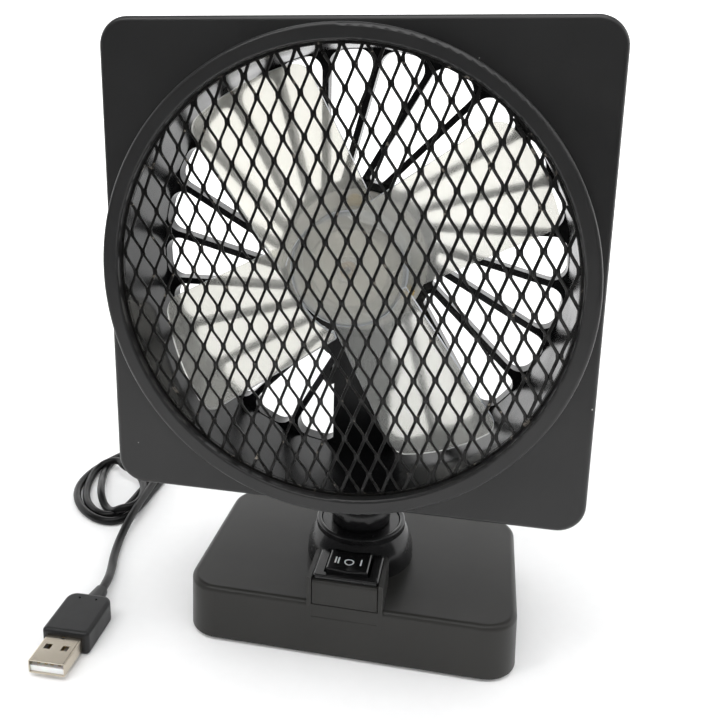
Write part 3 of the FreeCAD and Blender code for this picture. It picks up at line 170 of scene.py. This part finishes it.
def loose_turns():
    """The loose coil beside the fan: a wide turn, half of a narrower one, and a small one on top."""
    points = []
    for step in range(TURN_POINTS):
        share = max(0.0, (step / TURN_POINTS - NARROWS_AFTER) / (1 - NARROWS_AFTER))
        point = coil_turn(mixed(OUTER_TURN, MIDDLE_TURN, share), TURN_START - step * 360 / TURN_POINTS)
        points.append((point.x, point.y, FLOOR))
    for step in range(MIDDLE_POINTS):
        point = coil_turn(MIDDLE_TURN, TURN_START - step * 360 / TURN_POINTS)
        points.append((point.x, point.y, FLOOR))
    points += [(-133.0, 67.0, FLOOR + 0.6), (-130.5, 74.0, FLOOR + 2.0), (-124.0, 75.0, UPPER)]
    for step in range(SMALL_POINTS):
        height = FLOOR if step in SMALL_ON_TABLE else UPPER
        point = coil_turn(SMALL_TURN, SMALL_START - step * SMALL_STEP)
        points.append((point.x, point.y, height))
    return points


def cord_route():
    """The lead's route from the base's grommet through its two coils to the plug, in millimetres."""
    exit_x = (grommet_low.x + grommet_high.x) / 2 / MM
    exit_z = (grommet_low.z + grommet_high.z) / 2 / MM
    rear = base_high.y / MM
    neat_x = (ring_low.x + ring_high.x) / 2 / MM
    neat_y = (ring_low.y + ring_high.y) / 2 / MM
    route = [(exit_x, rear + 12.0, exit_z), (exit_x, rear + 20.5, exit_z - 0.2),
             (exit_x + 0.3, rear + 28.0, 4.8), (exit_x + 0.8, rear + 34.0, 2.2),
             (neat_x + NEAT_OUTSIDE, neat_y - 6.5, FLOOR)]
    route += neat_turns(neat_x, neat_y)
    route += [(neat_x - 8.0, neat_y + 19.4, 4.5), (neat_x - 17.0, neat_y + 19.3, 2.8),
              (neat_x - 28.0, neat_y + 18.3, FLOOR), (neat_x - 42.0, neat_y + 16.4, FLOOR),
              (neat_x - 53.5, neat_y + 12.8, FLOOR), (neat_x - 62.3, neat_y + 6.6, FLOOR)]
    route += loose_turns()
    route += [(-129.2, 69.5, FLOOR), (-129.6, 80.0, FLOOR), (-126.5, 91.0, FLOOR),
              (-120.0, 99.0, FLOOR + 1.0), (-111.5, 101.5, UPPER), (-104.5, 95.5, UPPER),
              (-101.5, 84.0, UPPER), (-100.3, 70.0, UPPER), (-99.6, 57.0, UPPER), (-98.9, 46.0, UPPER),
              (-98.2, 37.0, UPPER), (-97.6, 29.0, 4.4), (-97.0, 21.7, 3.0), (-96.2, 15.3, 1.9),
              (-93.8, 6.3, FLOOR), (-90.6, -2.2, 2.0)]
    return route


# the plug: its open end, its turn on the table, and how far behind its end the cord enters it
PLUG_FRONT = Vector((-85.8, -55.9, 4.0))
PLUG_TURN = 2.0
PLUG_ENTRY = 35.1
STRAIGHT_BEHIND = 8.0            # the cord leaves the plug straight over this length


def plug_back():
    """The direction from the plug's open end back towards its cord."""
    turn = math.radians(PLUG_TURN)
    return Vector((-math.sin(turn), math.cos(turn), 0))


def evaluated(data):
    """A curve's own line or tube as a mesh."""
    holder = new_object("holder", data)
    mesh = bpy.data.meshes.new_from_object(holder)
    bpy.data.objects.remove(holder)
    return mesh


def route_curve():
    """The lead's route as one smooth curve."""
    route = [Vector(point) for point in cord_route()]
    route += [PLUG_FRONT + plug_back() * (PLUG_ENTRY + STRAIGHT_BEHIND),
              PLUG_FRONT + plug_back() * PLUG_ENTRY]
    data = bpy.data.curves.new("route", "CURVE")
    data.dimensions = "3D"
    spline = data.splines.new("NURBS")
    spline.points.add(len(route) - 1)
    for place, point in zip(spline.points, route):
        place.co = (*(point * MM), 1.0)
    spline.order_u = 3
    spline.use_endpoint_u = True
    spline.resolution_u = 8
    return data


def make_cord():
    """The black USB lead: a smooth tube along its route."""
    curve = route_curve()
    line = [vertex.co.copy() for vertex in evaluated(curve).vertices]
    curve.bevel_depth = CORD_DIAMETER / 2
    curve.bevel_resolution = 6
    curve.use_fill_caps = True
    tube = evaluated(curve)
    tube.shade_smooth()
    cord = new_object("usb_cord", tube)
    cord.data.materials.clear()
    cord.data.materials.append(materials["cord_jacket"])
    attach(cord, "base")
    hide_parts("cord_from_base", "cord_put_away", "cord_across", "cord_coil", "cord_to_plug")


# ================================================================ materials
class Surface:
    """A node material being put together round one Principled shader."""

    def __init__(self, name, **values):
        self.material = bpy.data.materials.new(name)
        self.material.use_nodes = True
        self.nodes = self.material.node_tree.nodes
        self.links = self.material.node_tree.links
        self.shader = self.nodes["Principled BSDF"]
        for socket, value in values.items():
            self.shader.inputs[socket.replace("_", " ")].default_value = value
        self.place = self.nodes.new("ShaderNodeTexCoord").outputs["Object"]

    def stretched(self, x, y, z):
        """The place on the object, drawn out along the axes."""
        mapping = self.nodes.new("ShaderNodeMapping")
        mapping.inputs["Scale"].default_value = (x, y, z)
        self.links.new(self.place, mapping.inputs["Vector"])
        return mapping.outputs["Vector"]

    def noise(self, size, detail=3.0, place=None, distortion=0.0):
        """Soft noise whose patches are about size metres across."""
        node = self.nodes.new("ShaderNodeTexNoise")
        node.inputs["Scale"].default_value = 1 / size
        node.inputs["Detail"].default_value = detail
        node.inputs["Distortion"].default_value = distortion
        self.links.new(place or self.place, node.inputs["Vector"])
        return node.outputs["Fac"]

    def ranged(self, value, low_in, high_in, low_out, high_out):
        """A value carried from one range to another, and kept inside it."""
        node = self.nodes.new("ShaderNodeMapRange")
        for socket, number in zip(("From Min", "From Max", "To Min", "To Max"),
                                  (low_in, high_in, low_out, high_out)):
            node.inputs[socket].default_value = number
        self.links.new(value, node.inputs["Value"])
        return node.outputs["Result"]

    def product(self, first, second):
        """Two masks multiplied."""
        node = self.nodes.new("ShaderNodeMath")
        node.operation = "MULTIPLY"
        self.links.new(first, node.inputs[0])
        self.links.new(second, node.inputs[1])
        return node.outputs["Value"]

    def between(self, mask, first, second):
        """A colour mixed from two by a mask. Each is a colour or another node's output."""
        node = self.nodes.new("ShaderNodeMix")
        node.data_type = "RGBA"
        self.links.new(mask, node.inputs["Factor"])
        for socket, colour in zip((node.inputs[6], node.inputs[7]), (first, second)):
            if isinstance(colour, bpy.types.NodeSocket):
                self.links.new(colour, socket)
            else:
                socket.default_value = (*colour, 1.0)
        return node.outputs[2]

    def specks(self, spacing, size, share):
        """A mask of small round specks: about one in every spacing, for that share of the places."""
        node = self.nodes.new("ShaderNodeTexVoronoi")
        node.inputs["Scale"].default_value = 1 / spacing
        self.links.new(self.place, node.inputs["Vector"])
        split = self.nodes.new("ShaderNodeSeparateColor")
        self.links.new(node.outputs["Color"], split.inputs["Color"])
        dots = self.ranged(node.outputs["Distance"], size / spacing * 0.6, size / spacing, 1.0, 0.0)
        return self.product(dots, self.ranged(split.outputs["Red"], 1 - share, 1.02 - share, 0.0, 1.0))

    def set(self, socket, value):
        """Feed a socket of the shader."""
        self.links.new(value, self.shader.inputs[socket])

    def bump(self, height, depth, strength, below=None):
        """Small relief of that depth, in metres."""
        node = self.nodes.new("ShaderNodeBump")
        node.inputs["Distance"].default_value = depth
        node.inputs["Strength"].default_value = strength
        self.links.new(height, node.inputs["Height"])
        if below is not None:
            self.links.new(below, node.inputs["Normal"])
        self.links.new(node.outputs["Normal"], self.shader.inputs["Normal"])
        return node.outputs["Normal"]


DUST_SPACING = 0.007             # metres between places that may hold a speck of dust
DUST_SIZE = 0.00028


def moulded(name, dark, light, rough, grain, depth, level=0.5, dust=0.0):
    """Injection-moulded plastic: fine tooling grain, slow changes of sheen, and a little dust."""
    surface = Surface(name, Specular_IOR_Level=level)
    patches = surface.noise(0.03, 4.0)
    colour = surface.between(surface.ranged(patches, 0.3, 0.7, 0.0, 1.0), dark, light)
    if dust:
        mask = surface.specks(DUST_SPACING, DUST_SIZE, dust)
        colour = surface.between(mask, colour, (0.32, 0.31, 0.30))
    surface.set("Base Color", colour)
    sheen = surface.noise(0.012, 2.0)
    surface.set("Roughness", surface.ranged(sheen, 0.2, 0.8, rough - 0.05, rough + 0.06))
    flow = surface.bump(surface.noise(0.02, 2.0), 0.0001, 0.25)
    surface.bump(surface.noise(grain, 2.0), depth, 0.40, flow)
    return surface.material


def polished(name, dark, light, rough):
    """Gloss plastic with hairline scratches and finger haze."""
    surface = Surface(name, Specular_IOR_Level=0.30, Coat_Weight=0.12, Coat_Roughness=0.10)
    haze = surface.noise(0.009, 4.0, distortion=0.6)
    surface.set("Base Color", surface.between(haze, dark, light))
    surface.set("Roughness", surface.ranged(haze, 0.3, 0.7, rough, rough + 0.12))
    scratches = surface.noise(0.0006, 2.0, surface.stretched(1.0, 0.12, 0.35))
    waves = surface.bump(surface.noise(0.014, 2.0), 0.00012, 0.3)
    surface.bump(scratches, 0.000012, 0.5, waves)
    return surface.material


def painted_mesh():
    """Black paint on expanded steel, worn through in small scattered patches where bare metal glints."""
    surface = Surface("mesh_black", Specular_IOR_Level=0.30)
    worn = surface.ranged(surface.noise(0.0022, 3.0), 0.66, 0.72, 0.0, 0.7)
    surface.set("Base Color", surface.between(worn, (0.0035, 0.0033, 0.0030), (0.30, 0.27, 0.23)))
    surface.set("Metallic", worn)
    surface.set("Roughness", surface.ranged(surface.noise(0.0015, 3.0), 0.3, 0.7, 0.22, 0.42))
    surface.bump(surface.noise(0.0005, 3.0), 0.00004, 0.6)
    return surface.material


def frosted_plastic():
    """Milky translucent polypropylene: shapes behind come through blurred, its edges look denser, and a
    painted cool sheen tints it bluish where it is seen edge-on.
    """
    surface = Surface("frosted", IOR=1.40, Specular_IOR_Level=0.5, Sheen_Weight=0.35,
                      Sheen_Roughness=0.6)
    surface.shader.inputs["Sheen Tint"].default_value = (0.80, 0.88, 1.0, 1.0)
    clouds = surface.noise(0.016, 4.0, distortion=0.4)
    facing = surface.nodes.new("ShaderNodeLayerWeight")
    facing.inputs["Blend"].default_value = 0.35
    body = surface.between(clouds, (0.82, 0.805, 0.735), (0.86, 0.845, 0.775))
    # painted cool sheen: the colour turns bluish where the surface is seen edge-on
    surface.set("Base Color", surface.between(facing.outputs["Facing"], body, (0.72, 0.77, 0.85)))
    surface.set("Transmission Weight", surface.ranged(facing.outputs["Facing"], 0.30, 0.95, 0.78, 0.36))
    surface.set("Roughness", surface.ranged(clouds, 0.3, 0.7, 0.13, 0.19))
    surface.bump(surface.noise(0.006, 3.0), 0.00006, 0.35)
    return surface.material


def rubber(name, dark, light, rough, level=0.30):
    """Soft matt jacket or foot with a dusty, slightly mottled skin."""
    surface = Surface(name, Specular_IOR_Level=level)
    mottle = surface.noise(0.004, 4.0)
    surface.set("Base Color", surface.between(mottle, dark, light))
    surface.set("Roughness", surface.ranged(mottle, 0.3, 0.7, rough - 0.05, rough + 0.08))
    surface.bump(surface.noise(0.0004, 3.0), 0.00002, 0.6)
    return surface.material


def metal(name, dull, bright, rough):
    """Plated or machined metal with fine drawing lines and small tarnish patches."""
    surface = Surface(name, Metallic=1.0, Specular_IOR_Level=0.5)
    tarnish = surface.noise(0.003, 5.0, distortion=0.5)
    lines = surface.noise(0.0004, 2.0, surface.stretched(1.0, 0.15, 1.0))
    surface.set("Base Color", surface.between(tarnish, dull, bright))
    surface.set("Roughness", surface.ranged(lines, 0.2, 0.8, rough - 0.05, rough + 0.12))
    surface.bump(lines, 0.000012, 0.5)
    return surface.material


def plated_shell():
    """The plug's nickel-plated shell: smooth, faintly drawn, a little yellowed."""
    surface = Surface("plug_shell", Metallic=1.0)
    haze = surface.noise(0.006, 3.0)
    lines = surface.noise(0.0005, 2.0, surface.stretched(0.2, 1.0, 1.0))
    surface.set("Base Color", surface.between(haze, (0.54, 0.48, 0.39), (0.62, 0.56, 0.47)))
    surface.set("Roughness", surface.ranged(lines, 0.2, 0.8, 0.20, 0.27))
    surface.bump(lines, 0.000004, 0.25)
    return surface.material


def nylon(name, dark, light):
    """Natural nylon or white moulding: slightly waxy, light passing under its skin."""
    surface = Surface(name, Specular_IOR_Level=0.45, Subsurface_Weight=0.15, Subsurface_Scale=0.001)
    clouds = surface.noise(0.005, 4.0)
    surface.set("Base Color", surface.between(clouds, dark, light))
    surface.set("Roughness", surface.ranged(clouds, 0.3, 0.7, 0.35, 0.5))
    surface.bump(surface.noise(0.0003, 2.0), 0.00001, 0.5)
    return surface.material


def resistor_lacquer():
    """The resistor's lacquer, banded round its body."""
    surface = Surface("resistor", Specular_IOR_Level=0.5)
    node = surface.nodes.new("ShaderNodeTexWave")
    node.inputs["Scale"].default_value = 110
    surface.links.new(surface.place, node.inputs["Vector"])
    bands = surface.ranged(node.outputs["Fac"], 0.86, 0.92, 0.0, 1.0)
    surface.set("Base Color", surface.between(bands, (0.60, 0.47, 0.30), (0.16, 0.05, 0.03)))
    surface.set("Roughness", surface.ranged(surface.noise(0.001), 0.3, 0.7, 0.3, 0.5))
    return surface.material


def make_materials():
    """Every material slot's surface, and the darker jacket of the lead."""
    return {
        "base_shell": moulded("base_shell", (0.0195, 0.0191, 0.0178), (0.0240, 0.0234, 0.0219), 0.33,
                              0.00035, 0.00003, 0.22, dust=0.10),
        "head_shell": moulded("head_shell", (0.0100, 0.0099, 0.0100), (0.0132, 0.0130, 0.0130), 0.33,
                              0.00035, 0.00003, 0.36, dust=0.16),
        "duct_black": moulded("duct_black", (0.0035, 0.0035, 0.0038), (0.0060, 0.0060, 0.0064), 0.22,
                              0.0009, 0.00002, 0.20, dust=0.08),
        "gloss_black": polished("gloss_black", (0.0040, 0.0040, 0.0041), (0.0070, 0.0070, 0.0074), 0.17),
        "mesh_black": painted_mesh(),
        "frosted": frosted_plastic(),
        "rubber_black": rubber("rubber_black", (0.008, 0.008, 0.008), (0.015, 0.0145, 0.014), 0.7),
        "steel": metal("steel", (0.38, 0.37, 0.36), (0.60, 0.59, 0.58), 0.28),
        "brass": metal("brass", (0.50, 0.36, 0.14), (0.72, 0.56, 0.28), 0.26),
        "copper": metal("copper", (0.55, 0.24, 0.12), (0.78, 0.40, 0.24), 0.28),
        "bronze": metal("bronze", (0.33, 0.22, 0.11), (0.50, 0.36, 0.20), 0.42),
        "carbon": rubber("carbon", (0.020, 0.020, 0.022), (0.045, 0.045, 0.048), 0.55),
        "nylon": nylon("nylon", (0.66, 0.64, 0.58), (0.78, 0.77, 0.72)),
        "white_plastic": nylon("white_plastic", (0.70, 0.70, 0.69), (0.78, 0.78, 0.77)),
        "wire_red": rubber("wire_red", (0.36, 0.015, 0.012), (0.48, 0.03, 0.02), 0.45),
        "cord_black": rubber("cord_black", (0.0085, 0.0085, 0.0088), (0.0140, 0.0140, 0.0145), 0.40),
        "cord_jacket": rubber("cord_jacket", (0.0022, 0.0022, 0.0023), (0.0042, 0.0042, 0.0044),
                              0.34, 0.22),
        "plug_shell": plated_shell(),
        "resistor": resistor_lacquer(),
    }


def dress_nodes():
    """Give every CAD node that shows the material of its slot."""
    for row in frame["record"]["subparts"]:
        node = nodes[row["node"]]
        for place in node.material_slots:
            place.material = materials[row["material_slot"]]


# ================================================================ expanded-metal grille
MESH_SHORT = 6.0 * MM            # pitch across the diamonds
MESH_LONG = 11.5 * MM            # pitch along the diamonds
MESH_TURN = math.radians(6.3)    # the lattice is turned in its ring
MESH_KNUCKLE = (3.5 * MM, 0.45 * MM)     # where one of its knuckles lies, from the duct's axis
STRAND_WIDTH = 1.02 * MM
STRAND_THICKNESS = 0.55 * MM
STRAND_TILT = math.radians(33)
KNUCKLE_LENGTH = 1.5 * MM
MESH_DOME = 1.5 * MM             # the sheet bulges by this much at its middle
MESH_RIM = 1.5 * MM              # width of the sheet's flat rim in its groove
FLAT_FROM = 6.0 * MM             # the strands flatten over this distance from the rim
STEPS_PER_CELL = 16
STRAND_BEVEL = 0.14 * MM
RIM_LAP = 0.4 * MM               # the strands stop this far short of the sheet's edge, inside its rim
RIM_PARTS = 128


def swing(along):
    """Where a strand is on its way from one knuckle to the next: 1 at its own side, -1 at the other."""
    part = (along / MESH_LONG) % 1.0
    distance = min(part, 1.0 - part) * MESH_LONG
    slant = MESH_LONG / 2 - KNUCKLE_LENGTH
    return 1.0 - 2.0 * eased_lightly((distance - KNUCKLE_LENGTH / 2) / slant)


def eased_lightly(share):
    """0 to 1, nearly straight, with short bends at the ends."""
    share = max(0.0, min(1.0, share))
    return 0.92 * share + 0.08 * eased(share)


def in_grille(across, along):
    """A point of the lattice's plane, seen from the duct's axis."""
    x = MESH_KNUCKLE[0] + across * math.cos(MESH_TURN) - along * math.sin(MESH_TURN)
    z = MESH_KNUCKLE[1] + across * math.sin(MESH_TURN) + along * math.cos(MESH_TURN)
    return x, z


def strand_section(index, along):
    """The eight corners of a strand's section at one place, or nothing past the rim."""
    own_side = -1.0 if index % 2 == 0 else 1.0
    side = own_side * swing(along)
    radius = math.hypot(*in_grille((index + 0.5) * MESH_SHORT / 2, along))
    if radius > GRILLE_RADIUS - RIM_LAP:
        return None
    relief = eased((GRILLE_RADIUS - MESH_RIM - radius) / FLAT_FROM)
    tilt = STRAND_TILT * relief
    reach = MESH_SHORT / 4 - STRAND_WIDTH / 2 * math.cos(tilt)
    middle = (index + 0.5) * MESH_SHORT / 2 + side * reach
    sheet = (mesh_low.y + mesh_high.y) / 2 - MESH_DOME * relief * (1 - (radius / GRILLE_RADIUS) ** 2)
    depth = sheet + side * STRAND_WIDTH / 2 * math.sin(tilt)
    w = STRAND_WIDTH / 2
    t = STRAND_THICKNESS / 2
    bevel = STRAND_BEVEL
    outline = ((w - bevel, t), (bevel - w, t), (-w, t - bevel), (-w, bevel - t),
               (bevel - w, -t), (w - bevel, -t), (w, bevel - t), (w, t - bevel))
    corners = []
    for a, b in outline:
        across = middle + a * math.cos(tilt) - b * math.sin(tilt)
        x, z = in_grille(across, along)
        y = depth - (a * math.sin(tilt) + b * math.cos(tilt))
        corners.append((HEAD_X + x, y, HEAD_Z + z))
    return corners


def add_tube(points, faces, sections):
    """A closed tube through a row of sections."""
    first = len(points)
    count = len(sections[0])
    for section in sections:
        points.extend(section)
    for row in range(len(sections) - 1):
        for i in range(count):
            j = (i + 1) % count
            low = first + row * count
            faces.append((low + i, low + j, low + count + j, low + count + i))
    faces.append(tuple(first + i for i in reversed(range(count))))
    faces.append(tuple(first + (len(sections) - 1) * count + i for i in range(count)))


def add_rim(points, faces):
    """The sheet's flat rim, clamped in its groove."""
    first = len(points)
    outside = GRILLE_RADIUS - 0.02 * MM
    inside = GRILLE_RADIUS - MESH_RIM
    corners = ((inside, mesh_low.y), (outside, mesh_low.y), (outside, mesh_high.y), (inside, mesh_high.y))
    for step in range(RIM_PARTS):
        t = 2 * math.pi * step / RIM_PARTS
        for radius, y in corners:
            points.append((HEAD_X + radius * math.cos(t), y, HEAD_Z + radius * math.sin(t)))
    for step in range(RIM_PARTS):
        here = first + 4 * step
        there = first + 4 * ((step + 1) % RIM_PARTS)
        for i in range(4):
            j = (i + 1) % 4
            faces.append((here + i, here + j, there + j, there + i))


def make_grille():
    """The sheet of expanded steel: zigzag strands, each twisted out of the sheet, joined at knuckles."""
    points = []
    faces = []
    reach = int(GRILLE_RADIUS / (MESH_SHORT / 2)) + 3
    step = MESH_LONG / STEPS_PER_CELL
    rows = int(GRILLE_RADIUS / step) + 6
    for index in range(-reach, reach):
        sections = []
        for row in range(-rows, rows):
            section = strand_section(index, row * step)
            if section:
                sections.append(section)
        if len(sections) > 2:
            add_tube(points, faces, sections)
    add_rim(points, faces)
    grille = mesh_object("grille_expanded", points, faces)
    grille.data.materials.append(materials["mesh_black"])
    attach(grille, "head")
    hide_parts("grille_mesh")
    return grille


# ================================================================ switch marks
MARK_BAR = (0.46 * MM, 3.2 * MM)         # width and length of a bar
MARK_RING = (1.20 * MM, 1.6 * MM)       # inner and outer radius of the ring
MARK_SIDE = 3.9 * MM                     # the side marks stand this far from the middle
MARK_GAP = 0.95 * MM                     # between the two bars
MARK_PROUD = 0.03 * MM
MARK_PARTS = 32
ROCKER_PIVOT_Z = frame["record"]["behaviour"]["joints"][3]["pos_m"][2]
ROCKER_CREST = 4.7 * MM                  # heights of its ends and its middle above the pivot
ROCKER_VALLEY = 4.0 * MM
ROCKER_HALF = 6.7 * MM


def rocker_top(x):
    """Height of the rocker's shallow V at a distance from its middle."""
    slope = (ROCKER_CREST - ROCKER_VALLEY) / ROCKER_HALF
    return ROCKER_PIVOT_Z + ROCKER_VALLEY + abs(x) * slope


def add_mark(points, faces, outer, inner=None):
    """A thin raised mark on the rocker: an outline, or a ring between two outlines."""
    middle_x = (rocker_low.x + rocker_high.x) / 2
    middle_y = (rocker_low.y + rocker_high.y) / 2
    first = len(points)
    count = len(outer)
    for lift in (-MARK_PROUD, MARK_PROUD):
        for outline in (outer, inner or ()):
            for x, y in outline:
                points.append((middle_x + x, middle_y + y, rocker_top(x) + lift))
    layer = count * (2 if inner else 1)
    for i in range(count):
        j = (i + 1) % count
        faces.append((first + i, first + j, first + layer + j, first + layer + i))
        if inner:
            a = first + count
            faces.append((a + j, a + i, a + layer + i, a + layer + j))
            faces.append((first + layer + i, first + layer + j, a + layer + j, a + layer + i))
            faces.append((first + j, first + i, a + i, a + j))
    if not inner:
        faces.append(tuple(first + layer + i for i in range(count)))
        faces.append(tuple(first + i for i in reversed(range(count))))


def make_marks():
    """The rocker's white two, off and one marks."""
    points = []
    faces = []
    half_w, half_l = MARK_BAR[0] / 2, MARK_BAR[1] / 2
    for x in (-MARK_SIDE - MARK_GAP / 2, -MARK_SIDE + MARK_GAP / 2, MARK_SIDE):
        add_mark(points, faces, [(x - half_w, -half_l), (x + half_w, -half_l),
                                 (x + half_w, half_l), (x - half_w, half_l)])
    turns = [2 * math.pi * step / MARK_PARTS for step in range(MARK_PARTS)]
    outer = [(MARK_RING[1] * math.cos(t), MARK_RING[1] * math.sin(t)) for t in turns]
    inner = [(MARK_RING[0] * math.cos(t), MARK_RING[0] * math.sin(t)) for t in turns]
    add_mark(points, faces, outer, inner)
    marks = mesh_object("switch_marks", points, faces)
    marks.data.materials.append(materials["white_plastic"])
    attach(marks, "rocker")
    return marks


# ================================================================ studio
STAGE_TABLE = 0.45               # radius of the table's paper
STAGE_FLAT = 1.8                 # radius where the sweep starts to bend up
STAGE_RADIUS = 3.0
STAGE_HEIGHT = 2.2
STAGE_PARTS = 96
BEND_STEPS = 12


def stage_material():
    """White paper: matt close to the middle, and glowing more and more from 0.1 m out, which keeps it
    white far away and lightens the shadows near the fan.
    """
    surface = Surface("paper", Roughness=0.9, Specular_IOR_Level=0.1)
    length = surface.nodes.new("ShaderNodeVectorMath")
    length.operation = "LENGTH"
    surface.links.new(surface.place, length.inputs[0])
    grain = surface.noise(0.004, 3.0)
    surface.set("Base Color", surface.between(grain, (0.935, 0.935, 0.935), (0.96, 0.96, 0.96)))
    surface.shader.inputs["Emission Color"].default_value = (1, 1, 1, 1)
    # painted light: the glow rises with distance from the middle and lightens the shadows of the fan and
    # its lead on the paper
    surface.set("Emission Strength", surface.ranged(length.outputs["Value"], 0.10, 0.8, 0.0, 0.75))
    return surface.material


def at_angle(radius, part, height):
    """A point of the round stage."""
    t = 2 * math.pi * part / STAGE_PARTS
    return radius * math.cos(t), radius * math.sin(t), height


def add_stage(name, points, faces):
    """A piece of the stage, in white paper."""
    piece = mesh_object(name, points, faces)
    piece.data.materials.append(materials["paper"])
    return piece


def half_sweep(name, first_part):
    """Half of the paper's far sweep, from the table's edge up into its wall."""
    profile = [(STAGE_TABLE, 0.0), (STAGE_FLAT, 0.0)]
    bend = STAGE_RADIUS - STAGE_FLAT
    for step in range(1, BEND_STEPS + 1):
        t = math.radians(90 * step / BEND_STEPS)
        profile.append((STAGE_FLAT + bend * math.sin(t), bend * (1 - math.cos(t))))
    profile.append((STAGE_RADIUS, STAGE_HEIGHT))
    points = []
    faces = []
    columns = STAGE_PARTS // 2 + 1
    for radius, height in profile:
        for column in range(columns):
            points.append(at_angle(radius, first_part + column, height))
    for row in range(len(profile) - 1):
        for column in range(columns - 1):
            low = row * columns + column
            faces.append((low, low + columns, low + columns + 1, low + 1))
    return add_stage(name, points, faces)


def make_stage():
    """White paper: a table's width of it under the fan, and a far sweep in two halves."""
    edge = [at_angle(STAGE_TABLE, part, 0.0) for part in range(STAGE_PARTS)]
    add_stage("paper_table", edge, [tuple(range(STAGE_PARTS))])
    half_sweep("paper_behind", 0)
    front = half_sweep("paper_in_front", STAGE_PARTS // 2)
    front.visible_glossy = False     # so that the plates don't mirror it


def soft_light(name, place, target, size, power):
    """A square soft box that faces a point."""
    data = bpy.data.lights.new(name, "AREA")
    data.shape = "SQUARE"
    data.size = size
    data.energy = power
    lamp = new_object(name, data)
    aim = Vector(target) - Vector(place)
    lamp.matrix_world = Matrix.Translation(place) @ aim.to_track_quat("-Z", "Y").to_matrix().to_4x4()
    return lamp


def make_studio():
    """The paper stage, an even white room and three soft boxes."""
    make_stage()
    world = bpy.data.worlds.new("room")
    world.use_nodes = True
    sky = world.node_tree.nodes["Background"]
    sky.inputs["Color"].default_value = (0.96, 0.98, 1.0, 1.0)
    sky.inputs["Strength"].default_value = 0.15
    bpy.context.scene.world = world
    middle = (0.0, 0.0, 0.08)
    soft_light("top_box", (0.05, -0.25, 1.15), middle, 1.0, 9.0)
    soft_light("left_box", (-0.50, -0.45, 0.85), middle, 0.16, 1.5)
    soft_light("right_box", (0.80, -0.10, 0.80), middle, 0.50, 1.4)
    bpy.context.scene.view_settings.view_transform = "Standard"


materials = make_materials()
materials["paper"] = stage_material()
make_camera()
make_cord()
dress_nodes()
make_grille()
make_marks()
make_studio()
